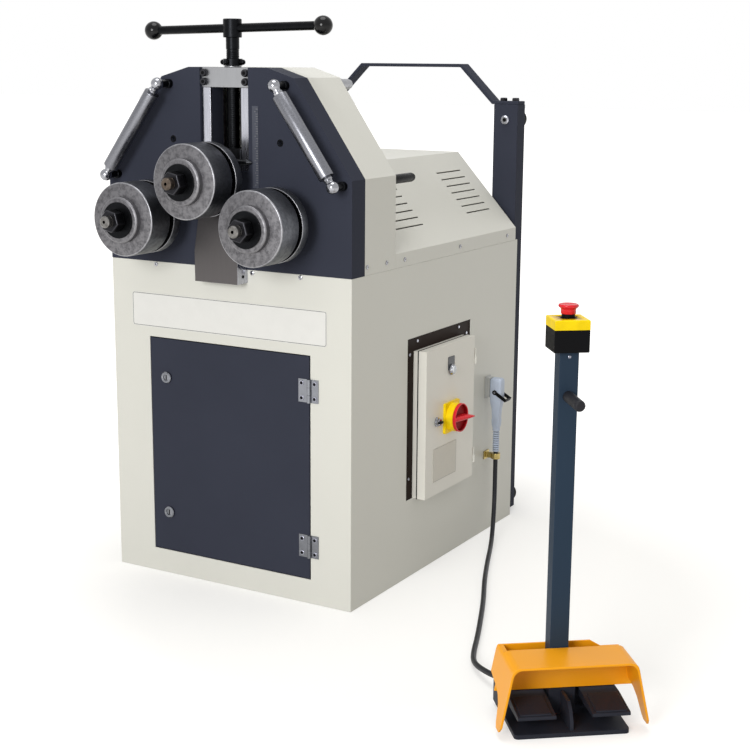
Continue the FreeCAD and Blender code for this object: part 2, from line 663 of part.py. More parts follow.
# ---- rolls ----
def roll_set(name, x, z, shaft_back, retainer_back):
    """One roll set: shaft, rings on it, and collar, washer and nut that clamp them."""
    thread_start = COLLAR_FACE - WASHER_THICKNESS
    bore = SHAFT_RADIUS + SEAT_FIT
    shaft = rod(SHAFT_RADIUS, (x, thread_start, z), (x, shaft_back, z))
    thread_end = thread_start - NUT_THICKNESS - THREAD_PROUD
    thread = rod(THREAD_RADIUS, (x, thread_end, z), (x, thread_start, z))
    free_end = rod(END_RADIUS, (x, SHAFT_END, z), (x, thread_end, z))
    centre_hole = taper(4.0, 2.0, (x, SHAFT_END, z), (x, SHAFT_END + 10, z))
    retainer = rod(SHAFT_RADIUS + 6, (x, retainer_back - 6, z), (x, retainer_back, z))
    save(name + "_roll_shaft", merge([shaft, thread, free_end, retainer]).cut(centre_hole))

    bevel = ROLL_CHAMFER
    front_back = ROLL_FACE + FRONT_RING
    rear_front = front_back + SPACER_RING
    front_ring = lathe([(bore, ROLL_FACE), (ROLL_RADIUS - bevel, ROLL_FACE),
                        (ROLL_RADIUS, ROLL_FACE + bevel), (ROLL_RADIUS, front_back - bevel),
                        (ROLL_RADIUS - bevel, front_back), (bore, front_back)], x, z)
    spacer = tube(SPACER_RADIUS, bore, (x, front_back, z), (x, rear_front, z))
    rear_ring = lathe([(bore, rear_front), (ROLL_RADIUS - bevel, rear_front),
                       (ROLL_RADIUS, rear_front + bevel), (ROLL_RADIUS, ROLL_BACK - 1),
                       (ROLL_RADIUS - 1, ROLL_BACK), (bore, ROLL_BACK)], x, z)
    back_spacer = tube(BACK_SPACER_RADIUS, bore, (x, ROLL_BACK, z), (x, FRONT - 3, z))
    save(name + "_roll_rings", front_ring, spacer, rear_ring, back_spacer)

    collar = lathe([(bore, COLLAR_FACE), (COLLAR_RADIUS - 1.5, COLLAR_FACE),
                    (COLLAR_RADIUS, COLLAR_FACE + 1.5), (COLLAR_RADIUS, ROLL_FACE), (bore, ROLL_FACE)],
                   x, z)
    thread_bore = THREAD_RADIUS + SEAT_FIT
    washer = tube(WASHER_RADIUS, bore, (x, thread_start, z), (x, COLLAR_FACE, z))
    nut_front = thread_start - NUT_THICKNESS
    nut = hexagon(NUT_ACROSS, (x, nut_front, z), (x, thread_start, z))
    bevelled = lathe([(0, nut_front), (NUT_ACROSS / 2, nut_front),
                      (NUT_ACROSS * 0.6, nut_front + NUT_ACROSS * 0.06),
                      (NUT_ACROSS * 0.6, thread_start), (0, thread_start)], x, z)
    nut = nut.common(bevelled).cut(rod(thread_bore, (x, nut_front, z), (x, thread_start, z)))
    save(name + "_roll_nut", collar, washer, nut)


def gear(teeth, bore, x, z):
    """A spur gear blank. The teeth end on the pitch circle, so that meshing gears stay clear."""
    tip = GEAR_MODULE * teeth / 2 - SLIDE_GAP
    root = tip - TOOTH_DEPTH
    pitch = 2 * math.pi / teeth
    points = []
    for tooth in range(teeth):
        middle = tooth * pitch
        for radius, offset in ((root, -0.32), (tip, -0.15), (tip, 0.15), (root, 0.32)):
            angle = middle + offset * pitch
            points.append((x + radius * math.cos(angle), GEAR_FRONT, z + radius * math.sin(angle)))
    blank = prism(points, (0, GEAR_WIDTH, 0))
    return blank.cut(rod(bore, (x, GEAR_FRONT, z), (x, GEAR_FRONT + GEAR_WIDTH, z)))


def rolls():
    lower_back = HEAD_BACK - HOUSING_SHEET - 1
    half = ROLL_SPACING / 2
    for name, x in (("left", -half), ("right", half)):
        roll_set(name, x, ROLL_Z, lower_back, REAR_PLATE_FRONT - 1)
        save(name + "_roll_gear", gear(GEAR_TEETH, SHAFT_RADIUS + SEAT_FIT, x, ROLL_Z))
    upper_back = PLATE_BACK + CARRIAGE_FLANGE + 2 * SLIDE_GAP + 6
    roll_set("upper", 0, UPPER_Z, upper_back, upper_back)


def carriage():
    bottom = UPPER_Z - CARRIAGE_BELOW
    slide_half = SLOT_WIDTH / 2 - SLIDE_GAP
    flange_half = SLOT_WIDTH / 2 + CARRIAGE_OVERLAP
    flange_front = PLATE_BACK + SLIDE_GAP
    flange_back = flange_front + CARRIAGE_FLANGE
    block = merge([
        box((-slide_half, slide_half), (FRONT + 1, flange_front), (bottom, CARRIAGE_TOP)),
        box((-flange_half, flange_half), (flange_front, flange_back), (bottom, CARRIAGE_TOP)),
    ])
    start, end = (0, FRONT + 1, UPPER_Z), (0, flange_back, UPPER_Z)
    block = block.cut(rod(BUSH_RADIUS, start, end))
    seat_bottom = CARRIAGE_TOP - SCREW_SEAT
    block = block.cut(rod(SCREW_RADIUS + SLIDE_GAP, (0, SCREW_Y, seat_bottom), (0, SCREW_Y, CARRIAGE_TOP)))
    pointer_y, pointer_z = FRONT - POINTER_STANDOFF, UPPER_Z + POINTER_RISE
    slim = POINTER_RADIUS - 1
    block = merge([
        block,
        box((slide_half - 10, slide_half), (pointer_y, FRONT + 2), (pointer_z - slim, pointer_z + slim)),
        rod(POINTER_RADIUS, (slide_half - 6, pointer_y, pointer_z), (POINTER_TIP - 10, pointer_y, pointer_z)),
        taper(POINTER_RADIUS, 1, (POINTER_TIP - 10, pointer_y, pointer_z), (POINTER_TIP, pointer_y, pointer_z)),
    ])
    bush = tube(BUSH_RADIUS, SHAFT_RADIUS + RUNNING_FIT, start, end)
    save("upper_carriage", block, bush)

    hub_bottom = HEAD_TOP + SCREW_ABOVE_BRIDGE
    screw_bottom = seat_bottom + SLIDE_GAP
    save("feed_screw", rod(SCREW_RADIUS, (0, SCREW_Y, screw_bottom), (0, SCREW_Y, hub_bottom)))
    hub_top = hub_bottom + HUB_HEIGHT
    handle_z = hub_bottom + HUB_HEIGHT / 2
    bar_start = HANDLE_SLIDE - HANDLE_REACH + BALL_RADIUS * 0.8
    bar_end = HANDLE_SLIDE + HANDLE_REACH - BALL_RADIUS * 0.8

    def on_bar(x):
        return (x, SCREW_Y, handle_z + HANDLE_LEAN * x / HANDLE_REACH)

    bar = rod(HANDLE_RADIUS, on_bar(bar_start), on_bar(bar_end))
    hub = merge([rod(HUB_RADIUS, (0, SCREW_Y, hub_bottom), (0, SCREW_Y, hub_top - 1.5)),
                 taper(HUB_RADIUS, HUB_RADIUS - 1.5, (0, SCREW_Y, hub_top - 1.5), (0, SCREW_Y, hub_top))])
    hub = hub.cut(rod(HANDLE_RADIUS + SEAT_FIT, on_bar(-HUB_RADIUS - 2), on_bar(HUB_RADIUS + 2)))
    knobs = []
    for x in (HANDLE_SLIDE - HANDLE_REACH, HANDLE_SLIDE + HANDLE_REACH):
        knobs.append(ball(BALL_RADIUS, on_bar(x)).cut(rod(HANDLE_RADIUS, on_bar(bar_start), on_bar(bar_end))))
    save("t_handle", hub, bar, *knobs)

    nut_bottom = HEAD_TOP + LOCK_WASHER + SLIDE_GAP
    nut_top = nut_bottom + LOCK_NUT_HEIGHT
    nut = rod(LOCK_NUT_RADIUS, (0, SCREW_Y, nut_bottom), (0, SCREW_Y, nut_top))
    lug_z = (nut_bottom + nut_top) / 2
    for dx, dy in ((1, 0), (-1, 0), (0, 1), (0, -1)):
        tip = (dx * (LUG_REACH - LUG_RADIUS), SCREW_Y + dy * (LUG_REACH - LUG_RADIUS), lug_z)
        nut = nut.fuse(rod(LUG_RADIUS, (0, SCREW_Y, lug_z), tip)).fuse(ball(LUG_RADIUS, tip))
    bore = rod(SCREW_RADIUS + SLIDE_GAP, (0, SCREW_Y, nut_bottom), (0, SCREW_Y, nut_top))
    save("lock_nut", nut.removeSplitter().cut(bore))


def drive():
    pinion = gear(PINION_TEETH, PINION_SHAFT_RADIUS, 0, PINION_Z)
    shaft = rod(PINION_SHAFT_RADIUS, (0, GEAR_FRONT - 8, PINION_Z), (0, GEARBOX_FRONT + 40, PINION_Z))
    save("drive_pinion", pinion.fuse(shaft).removeSplitter())
    box_back = GEARBOX_FRONT + GEARBOX_LENGTH
    case = box((-GEARBOX_WIDTH / 2, GEARBOX_WIDTH / 2), (GEARBOX_FRONT, box_back),
               (CABINET_HEIGHT, CABINET_HEIGHT + GEARBOX_HEIGHT))
    case = case.makeFillet(10, [e for e in case.Edges if abs(e.BoundBox.YLength - GEARBOX_LENGTH) < 1])
    case = case.cut(rod(PINION_SHAFT_RADIUS + RUNNING_FIT, (0, GEARBOX_FRONT, PINION_Z),
                        (0, GEARBOX_FRONT + 42, PINION_Z)))
    motor_back = box_back + MOTOR_LENGTH
    motor = merge([
        rod(MOTOR_RADIUS, (0, box_back, MOTOR_Z), (0, motor_back - 60, MOTOR_Z)),
        rod(MOTOR_RADIUS + 3, (0, motor_back - 60, MOTOR_Z), (0, motor_back, MOTOR_Z)),
        box((MOTOR_RADIUS - 20, MOTOR_RADIUS + 36), (box_back + 60, box_back + 150),
            (MOTOR_Z - 34, MOTOR_Z + 34)),
        box((-62, 62), (box_back + 30, box_back + 150), (CABINET_HEIGHT, MOTOR_Z - MOTOR_RADIUS / 2)),
    ])
    save("gearmotor", case, motor)


# ---- rear ----
def rear_cover():
    ridge = CABINET_HEIGHT + COVER_RISE
    fold = CABINET_HEIGHT + COVER_FLANGE
    corners = [(HALF_WIDTH, CABINET_HEIGHT), (HALF_WIDTH, fold), (COVER_RIDGE_HALF, ridge)]
    corners += [(-x, z) for x, z in corners[::-1]]
    outline = flat_face([(x, COVER_FRONT, z) for x, z in corners])
    skin = outline.extrude(Vector(0, COVER_BACK - COVER_FRONT, 0))
    room = outline.makeOffset2D(-COVER_SHEET, join=2)
    room = room.extrude(Vector(0, COVER_BACK - COVER_SHEET - COVER_FRONT, 0))
    below = box((-HALF_WIDTH + COVER_SHEET, HALF_WIDTH - COVER_SHEET),
                (COVER_FRONT, COVER_BACK - COVER_SHEET), (CABINET_HEIGHT, CABINET_HEIGHT + COVER_FLANGE / 2))
    cover = skin.cut(room).cut(below)
    run, rise = HALF_WIDTH - COVER_RIDGE_HALF, COVER_RISE - COVER_FLANGE
    slope = math.hypot(run, rise)
    vents = []
    for side in (-1, 1):
        up = Vector(-side * run / slope, 0, rise / slope)
        out = Vector(side * rise / slope, 0, run / slope)
        for first_end, lowest in VENT_GROUPS:
            for row in range(VENT_ROWS):
                middle = Vector(side * HALF_WIDTH, first_end, fold) + up * (lowest + row * VENT_PITCH)
                corners = [middle + up * (a * VENT_WIDTH / 2) + out * (b * 2 * COVER_SHEET)
                           for a, b in ((-1, -1), (1, -1), (1, 1), (-1, 1))]
                vents.append(prism([tuple(c) for c in corners], (0, VENT_LENGTH, 0)))
    save("rear_cover", cover.cut(Part.makeCompound(vents)))


def columns():
    posts, feet, screws, bolts = [], [], [], []
    for side in (-1, 1):
        x = side * COLUMN_MIDDLE
        span = (x - COLUMN_WIDTH / 2, x + COLUMN_WIDTH / 2)
        hollow = (span[0] + COLUMN_WALL, span[1] - COLUMN_WALL)
        post = box(span, (BACK, BACK + COLUMN_DEPTH), (COLUMN_BOTTOM, COLUMN_TOP))
        post = post.cut(box(hollow, (BACK + COLUMN_WALL, BACK + COLUMN_DEPTH - COLUMN_WALL),
                            (COLUMN_BOTTOM, COLUMN_TOP - COLUMN_WALL)))
        posts.append(post)
        for z in FOOT_HEIGHTS:
            y = BACK + COLUMN_DEPTH
            foot = lathe([(0, y), (FOOT_RADIUS, y), (FOOT_RADIUS, y + FOOT_HEIGHT * 0.8),
                          (FOOT_RADIUS * 0.85, y + FOOT_HEIGHT * 0.94),
                          (FOOT_RADIUS * 0.6, y + FOOT_HEIGHT), (0, y + FOOT_HEIGHT)], x, z)
            feet.append(foot)
        z = FOOT_HEIGHTS[1]
        head = merge([rod(11, (x, BACK - 2, z), (x, BACK, z)), rod(8, (x, BACK - 10, z), (x, BACK - 2, z))])
        screws.append(head.cut(hexagon(8, (x, BACK - 10, z), (x, BACK - 5, z))))
        for offset in (-COLUMN_WIDTH / 4, COLUMN_WIDTH / 4):
            foot_x, y = x + offset, BACK + COLUMN_DEPTH / 2
            bolts.append(hexagon(17, (foot_x, y, STRAP_TOP), (foot_x, y, STRAP_TOP + 8)))
    outer = COLUMN_MIDDLE + COLUMN_WIDTH / 2
    inner = outer - COLUMN_WIDTH - 4
    path = [(-outer, STRAP_TOP), (-inner, STRAP_TOP), (-STRAP_HALF, STRAP_TOP + STRAP_RISE)]
    path += [(-x, z) for x, z in path[::-1]]
    middle = BACK + COLUMN_DEPTH / 2
    strap = ribbon(path, STRAP_THICKNESS, (middle - STRAP_WIDTH / 2, middle + STRAP_WIDTH / 2))
    save("rear_columns", *posts)
    save("rubber_feet", *feet)
    save("strap_handle", strap)
    return screws, bolts


# ---- electric box ----
def electric_box(door_hinge_parts):
    half, tall = ENCLOSURE_WIDTH / 2, ENCLOSURE_HEIGHT / 2
    y_span = (ENCLOSURE_Y - half, ENCLOSURE_Y + half)
    z_span = (ENCLOSURE_Z - tall, ENCLOSURE_Z + tall)
    back = ENCLOSURE_FACE - ENCLOSURE_DEPTH
    wall = ENCLOSURE_WALL
    body = box((back, ENCLOSURE_FACE), y_span, z_span)
    body = body.cut(box((back + wall, ENCLOSURE_FACE), (y_span[0] + wall, y_span[1] - wall),
                        (z_span[0] + wall, z_span[1] - wall)))
    save("enclosure_body", body)
    frame_face = HALF_WIDTH - CABINET_SHEET
    reach = OPENING_WIDTH / 2 + FRAME_OVERLAP
    frame = box((frame_face - FRAME_SHEET, frame_face), (OPENING_Y - reach, OPENING_Y + reach),
                (OPENING_BOTTOM - FRAME_OVERLAP, OPENING_TOP + FRAME_OVERLAP))
    frame = frame.cut(box((frame_face - FRAME_SHEET, frame_face), y_span, z_span))
    save("enclosure_frame", frame)
    gear_back = back + wall
    rail = box((gear_back, gear_back + 8), (ENCLOSURE_Y - 90, ENCLOSURE_Y + 90),
               (ENCLOSURE_Z + 40, ENCLOSURE_Z + 75))
    contactors = [box((gear_back + 8, gear_back + 78), (y, y + 42), (ENCLOSURE_Z + 20, ENCLOSURE_Z + 98))
                  for y in (ENCLOSURE_Y - 80, ENCLOSURE_Y - 30)]
    relay = box((gear_back + 8, gear_back + 60), (ENCLOSURE_Y + 25, ENCLOSURE_Y + 80),
                (ENCLOSURE_Z + 10, ENCLOSURE_Z + 100))
    transformer = box((gear_back, gear_back + 66), (ENCLOSURE_Y - 75, ENCLOSURE_Y + 5),
                      (ENCLOSURE_Z - 130, ENCLOSURE_Z - 50))
    terminals = box((gear_back, gear_back + 40), (ENCLOSURE_Y + 20, ENCLOSURE_Y + 95),
                    (ENCLOSURE_Z - 120, ENCLOSURE_Z - 80))
    save("control_gear", rail, *contactors, relay, transformer, terminals)

    door_y = (ENCLOSURE_Y - BOX_DOOR_HALF, ENCLOSURE_Y + BOX_DOOR_HALF)
    door_z = (z_span[0] - BOX_DOOR_MARGIN, z_span[1] + BOX_DOOR_MARGIN)
    skin = 2.0
    door = box((BOX_DOOR_BACK, BOX_DOOR_FACE), door_y, door_z)
    door = door.cut(box((BOX_DOOR_BACK, BOX_DOOR_FACE - skin), (door_y[0] + skin, door_y[1] - skin),
                        (door_z[0] + skin, door_z[1] - skin)))
    door = door.cut(rod(LATCH_RADIUS + SLIDE_GAP, (BOX_DOOR_BACK, LATCH_Y, SWITCH_Z),
                        (BOX_DOOR_FACE, LATCH_Y, SWITCH_Z)))
    hinge_x = BOX_DOOR_FACE
    brackets = []
    for z in (door_z[0] + 50, door_z[1] - 50):
        low, middle, high = z - 18, z, z + 18
        axis = (hinge_x, BOX_HINGE_Y)
        barrel = rod(HINGE_BARREL, (*axis, low), (*axis, middle - SLIDE_GAP))
        pin = rod(HINGE_PIN, (*axis, middle - SLIDE_GAP), (*axis, high))
        arm = box((frame_face, hinge_x), (BOX_HINGE_Y - 1.5, BOX_HINGE_Y + 1.5), (low, middle - SLIDE_GAP))
        brackets.append(merge([arm, barrel, pin]))
        bore = rod(HINGE_PIN + RUNNING_FIT, (*axis, middle), (*axis, high))
        upper = rod(HINGE_BARREL, (*axis, middle), (*axis, high)).fuse(
            box((hinge_x - 6, hinge_x - 2), (door_y[1] - 1, BOX_HINGE_Y), (middle, high)))
        door = door.fuse(upper.cut(bore))
    face = BOX_DOOR_FACE
    rating_left, rating_bottom = ENCLOSURE_Y - RATING_LEFT, ENCLOSURE_Z - RATING_DROP
    rating_plate = box((face, face + RATING_SHEET), (rating_left, rating_left + RATING_WIDTH),
                       (rating_bottom, rating_bottom + RATING_HEIGHT))
    save("electric_door", door.removeSplitter(), rating_plate)
    save("hinge_brackets", *door_hinge_parts, *brackets)

    legend = box((face, face + 1.5), (CONTROL_Y - 15, CONTROL_Y + 15), (LAMP_Z - 30, LAMP_Z + 30))
    lamp = merge([rod(LAMP_RADIUS, (face + 1.5, CONTROL_Y, LAMP_Z), (face + 9, CONTROL_Y, LAMP_Z)),
                  taper(LAMP_RADIUS, LAMP_RADIUS - 3, (face + 9, CONTROL_Y, LAMP_Z),
                        (face + 12, CONTROL_Y, LAMP_Z))])
    save("signal_lamp", legend, lamp)
    reach = SWITCH_PLATE / 2
    base = merge([
        box((face, face + 6), (CONTROL_Y - reach, CONTROL_Y + reach), (SWITCH_Z - reach, SWITCH_Z + reach)),
        rod(SWITCH_RADIUS, (face + 6, CONTROL_Y, SWITCH_Z), (face + SWITCH_BASE, CONTROL_Y, SWITCH_Z)),
    ])
    save("switch_base", base)
    knob_back = face + SWITCH_BASE + SLIDE_GAP
    knob_front = knob_back + KNOB_DISC
    knob = merge([
        rod(SWITCH_RADIUS, (knob_back, CONTROL_Y, SWITCH_Z), (knob_front, CONTROL_Y, SWITCH_Z)),
        prism([(knob_front, CONTROL_Y - 31, SWITCH_Z - 7), (knob_front, CONTROL_Y - 31, SWITCH_Z + 7),
               (knob_front + KNOB_GRIP, CONTROL_Y - 31, SWITCH_Z + 4),
               (knob_front + KNOB_GRIP, CONTROL_Y - 31, SWITCH_Z - 4)], (0, 62, 0)),
    ])
    save("switch_knob", knob)
    latch = merge([
        rod(LATCH_RADIUS, (face - 12, LATCH_Y, SWITCH_Z), (face + 8, LATCH_Y, SWITCH_Z)),
        box((face + 8, face + 16), (LATCH_Y - 4, LATCH_Y + 4), (SWITCH_Z - 14, SWITCH_Z + 14)),
        box((face - 14, face - 12), (LATCH_Y - 6, LATCH_Y + 6), (SWITCH_Z - 8, SWITCH_Z + 24)),
    ])
    save("box_latch", latch)


# ---- connector and cable ----
def connector():
    wall = HALF_WIDTH
    plug_back = PLUG_X - PLUG_HALF_DEPTH
    plug_front = PLUG_X + PLUG_HALF_DEPTH
    side = (CONNECTOR_Y - PLUG_HALF_WIDTH, CONNECTOR_Y + PLUG_HALF_WIDTH)
    pivot_x, pivot_z = wall + LEVER_PIVOT_X, CONNECTOR_TOP - LEVER_PIVOT_DROP
    socket_bottom = CONNECTOR_TOP - SOCKET_HEIGHT
    socket = merge([
        box((wall, wall + SOCKET_FLANGE), (side[0] - SOCKET_FLANGE, side[1] + SOCKET_FLANGE),
            (socket_bottom - SOCKET_FLANGE, CONNECTOR_TOP + SOCKET_FLANGE)),
        box((wall, plug_back), side, (socket_bottom, CONNECTOR_TOP)),
    ])
    narrow = PLUG_NARROW
    plug = Part.makeLoft([
        Part.makePolygon([Vector(*p) for p in (
            (PLUG_X - depth, CONNECTOR_Y - half, z), (PLUG_X + depth, CONNECTOR_Y - half, z),
            (PLUG_X + depth, CONNECTOR_Y + half, z), (PLUG_X - depth, CONNECTOR_Y + half, z),
            (PLUG_X - depth, CONNECTOR_Y - half, z))])
        for z, half, depth in ((PLUG_BOTTOM, narrow, narrow),
                               (PLUG_BOTTOM + 60, PLUG_HALF_WIDTH, PLUG_HALF_DEPTH))], True, True)
    plug = plug.fuse(box((plug_back, plug_front), side, (PLUG_BOTTOM + 60, CONNECTOR_TOP)))
    plug = plug.removeSplitter()
    edges = [e for e in plug.Edges if abs(e.BoundBox.ZMin - CONNECTOR_TOP) < 0.1
             and e.BoundBox.XMin > plug_back + 1]
    plug = plug.makeFillet(6, edges)
    plug = plug.fuse(rod(LEVER_PIN, (pivot_x, side[0] - 4, pivot_z), (pivot_x, side[1] + 4, pivot_z)))
    sleeve = taper(CABLE_RADIUS + 1.5, SLEEVE_TOP_RADIUS - 1, (PLUG_X, CONNECTOR_Y, CABLE_START_Z),
                   (PLUG_X, CONNECTOR_Y, PLUG_BOTTOM))
    save("connector_plug", plug, sleeve)
    clip_top = CLIP_Z + CLIP_HEIGHT
    clip_bore = CABLE_RADIUS + SLIDE_GAP
    clip = merge([
        rod(clip_bore + 5.5, (PLUG_X, CONNECTOR_Y, CLIP_Z), (PLUG_X, CONNECTOR_Y, clip_top)),
        box((wall, PLUG_X), (CONNECTOR_Y - 3, CONNECTOR_Y + 3), (CLIP_Z, clip_top)),
        box((wall, wall + 3), (CONNECTOR_Y - 14, CONNECTOR_Y + 14), (CLIP_Z - 3, clip_top + 3)),
    ])
    clip = clip.cut(rod(clip_bore, (PLUG_X, CONNECTOR_Y, CLIP_Z), (PLUG_X, CONNECTOR_Y, clip_top)))
    save("connector_fittings", socket, clip)

    slope = math.radians(LEVER_SLOPE)
    along, across = (math.cos(slope), -math.sin(slope)), (math.sin(slope), math.cos(slope))

    def lever_point(forward, up, y):
        return (pivot_x + forward * along[0] + up * across[0], y,
                pivot_z + forward * along[1] + up * across[1])

    inner_side = PLUG_HALF_WIDTH + SLIDE_GAP
    outer_side = inner_side + LEVER_SHEET
    pieces = []
    for sign in (-1, 1):
        inner, outer = CONNECTOR_Y + sign * inner_side, CONNECTOR_Y + sign * outer_side
        corners = [lever_point(0, LEVER_EYE, inner), lever_point(LEVER_REACH, LEVER_EYE, inner),
                   lever_point(LEVER_REACH, -LEVER_EYE, inner), lever_point(0, -LEVER_EYE, inner)]
        arm = prism(corners, (0, outer - inner, 0))
        eye = rod(LEVER_EYE, (pivot_x, inner, pivot_z), (pivot_x, outer, pivot_z))
        hole = rod(LEVER_PIN + RUNNING_FIT, (pivot_x, inner, pivot_z), (pivot_x, outer, pivot_z))
        pieces.append(arm.fuse(eye).cut(hole))
    start = CONNECTOR_Y - outer_side
    corners = [lever_point(LEVER_REACH - LEVER_SHEET, LEVER_EYE, start),
               lever_point(LEVER_REACH, LEVER_EYE, start),
               lever_point(LEVER_REACH, -LEVER_EYE, start),
               lever_point(LEVER_REACH - LEVER_SHEET, -LEVER_EYE, start)]
    cross_bar = prism(corners, (0, 2 * outer_side, 0))
    save("connector_lever", merge([*pieces, cross_bar]))


def bent_tube(points, radius):
    """A tube of straight runs joined by tangent arcs, each as wide as its shorter run allows."""
    stops = [Vector(*p) for p in points]
    edges, at = [], stops[0]
    for before, corner, after in zip(stops, stops[1:], stops[2:]):
        towards, away = (corner - before), (after - corner)
        half_turn = towards.getAngle(away) / 2
        reach = 0.45 * min(towards.Length, away.Length)
        bend = reach / math.tan(half_turn)
        into, out = towards.normalize(), away.normalize()
        start, end = corner - into * reach, corner + out * reach
        inward = (out - into).normalize()
        middle = corner + inward * (bend / math.cos(half_turn) - bend)
        edges += [Part.LineSegment(at, start).toShape(), Part.Arc(start, middle, end).toShape()]
        at = end
        print("bend radius %.0f, turn %.0f" % (bend, math.degrees(2 * half_turn)))
    edges.append(Part.LineSegment(at, stops[-1]).toShape())
    spine = Part.Wire(edges)
    direction = stops[1] - stops[0]
    section = Part.Wire(Part.makeCircle(radius, stops[0], direction))
    solid = spine.makePipeShell([section], True, False)
    expected = math.pi * radius ** 2 * spine.Length
    print("cable length %.0f, volume share %.4f" % (spine.Length, solid.Volume / expected))
    return solid


# ---- foot control ----
def foot_control():
    base_x = (-BASE_HALF, BASE_HALF)
    plate = box(base_x, (0, BASE_DEPTH), (0, BASE_THICKNESS))
    plate = plate.makeFillet(8, [e for e in plate.Edges if abs(e.BoundBox.ZLength - BASE_THICKNESS) < 0.1])
    block = box((-BLOCK_HALF, BLOCK_HALF), (BLOCK_FRONT, BLOCK_BACK), (BASE_THICKNESS, BLOCK_TOP))
    seat = box((-SEAT_HALF, SEAT_HALF), (SEAT_FRONT, BLOCK_BACK), (BASE_THICKNESS, BLOCK_TOP))
    divider = box((-3, 3), (6, SEAT_FRONT + 1), (BASE_THICKNESS, BLOCK_TOP - 4))
    round_front = rod(50, (-3, 56, BASE_THICKNESS), (3, 56, BASE_THICKNESS)).fuse(
        box((-3, 3), (56, SEAT_FRONT + 1), (BASE_THICKNESS, BLOCK_TOP)))
    divider = divider.common(round_front)
    base = merge([plate, block, seat, divider])
    pivots = []
    pedals = {"left_pedal": LEFT_PEDAL_X, "right_pedal": RIGHT_PEDAL_X}
    for name, x in pedals.items():
        half = PEDAL_WIDTH / 2
        pivot = (PEDAL_PIVOT_Y, PEDAL_PIVOT_Z)
        for side in (-1, 1):
            ear_x = (x + side * (half - 12), x + side * (half - 18))
            ear = box(ear_x, (PEDAL_PIVOT_Y - 6, BLOCK_FRONT + 1), (BASE_THICKNESS, PEDAL_PIVOT_Z + 5))
            base = base.fuse(ear)
        bore = rod(PEDAL_PIVOT_RADIUS, (x - half + 8, *pivot), (x + half - 8, *pivot))
        base = base.cut(bore)
        pivots.append(bore)
        top = (PEDAL_LEVEL, PEDAL_LEVEL + PEDAL_THICKNESS)
        side_view = [(0, top[0]), (0, top[1]), (PEDAL_LENGTH - 32, top[1] + PEDAL_RISE),
                     (PEDAL_LENGTH - 6, top[1] + PEDAL_RISE), (PEDAL_LENGTH - 6, top[0])]
        tread = prism([(x - half, y, z) for y, z in side_view], (PEDAL_WIDTH, 0, 0))
        tread = tread.makeFillet(3, [e for e in tread.Edges
                                     if e.BoundBox.YMax < 0.1 and e.BoundBox.XLength > 1])
        neck = box((x - half + 20, x + half - 20), (PEDAL_LENGTH - 30, PEDAL_PIVOT_Y + 5), top)
        pedal = merge([tread, neck])
        pedal = pedal.cut(rod(PEDAL_PIVOT_RADIUS + RUNNING_FIT, (x - half, *pivot), (x + half, *pivot)))
        save(name, pedal)
    save("pedal_base", base.removeSplitter(), *pivots)

    wall = HOOD_WALL

    def hood_outline(inset, foot):
        """The hood's arch seen from the front, shrunk by the inset."""
        corners = []
        for side, top_half, foot_half in ((-1, HOOD_TOP_LEFT, HOOD_FOOT_LEFT),
                                          (1, HOOD_TOP_RIGHT, HOOD_FOOT_RIGHT)):
            lean = (foot_half - top_half) / (HOOD_TOP - HOOD_FOOT_GAP)
            shoulder = HOOD_TOP - inset - HOOD_BEVEL
            low = Vector(side * (top_half - inset + lean * (HOOD_TOP - shoulder)), shoulder, 0)
            corner = Vector(side * (top_half - inset), HOOD_TOP - inset, 0)
            high = Vector(side * (top_half - inset - HOOD_BEVEL), HOOD_TOP - inset, 0)
            leg = [(side * (foot_half - inset + lean * (HOOD_FOOT_GAP - foot)), foot)]
            for t in (0, 0.25, 0.5, 0.75, 1):
                point = low * (1 - t) ** 2 + corner * (2 * t * (1 - t)) + high * t ** 2
                leg.append((point.x, point.y))
            corners += leg if side < 0 else leg[::-1]
        return corners

    def arch(corners, start, end):
        return prism([(x, start, z) for x, z in corners], (0, end - start, 0))

    inner_wall_back = POST_FRONT - 3
    rear_wall_front = HOOD_DEPTH - wall
    inner = hood_outline(wall, HOOD_FOOT_GAP - 1)
    hood = arch(hood_outline(0, HOOD_FOOT_GAP), 0, HOOD_DEPTH)
    hood = hood.cut(arch(inner, 0, inner_wall_back - wall))
    hood = hood.cut(arch(inner, inner_wall_back, rear_wall_front))
    wide = (-HOOD_FOOT_LEFT - 1, HOOD_FOOT_RIGHT + 1)
    hood = hood.cut(box((-HOOD_TOP_LEFT + 14, HOOD_TOP_RIGHT - 14), (inner_wall_back, rear_wall_front),
                        (HOOD_TOP - wall - 1, HOOD_TOP)))
    rear_top = [(wide[0], HOOD_TOP - 5), (62, HOOD_TOP - 5), (82, HOOD_TOP - 17), (wide[1], HOOD_TOP - 17),
                (wide[1], HOOD_TOP), (wide[0], HOOD_TOP)]
    hood = hood.cut(arch(rear_top, inner_wall_back, HOOD_DEPTH))
    behind_leg = [(27, HOOD_FOOT_GAP), (34, HOOD_FOOT_GAP + 9), (44, 48), (58, 60), (80, 67),
                  (HOOD_DEPTH, 74), (HOOD_DEPTH, HOOD_FOOT_GAP)]
    toe = [(0, HOOD_FOOT_GAP), (0, HOOD_FOOT_GAP + 10), (8, HOOD_FOOT_GAP)]
    keep = box(wide, (inner_wall_back - wall, inner_wall_back), (BLOCK_TOP, HOOD_TOP))
    for side_view in (behind_leg, toe):
        side_cut = prism([(wide[0], y, z) for y, z in side_view], (wide[1] - wide[0], 0, 0))
        hood = hood.cut(side_cut.cut(keep))
    hood = hood.cut(box(wide, (inner_wall_back - wall, HOOD_DEPTH), (HOOD_FOOT_GAP, BLOCK_TOP)))
    save("pedal_hood", hood)

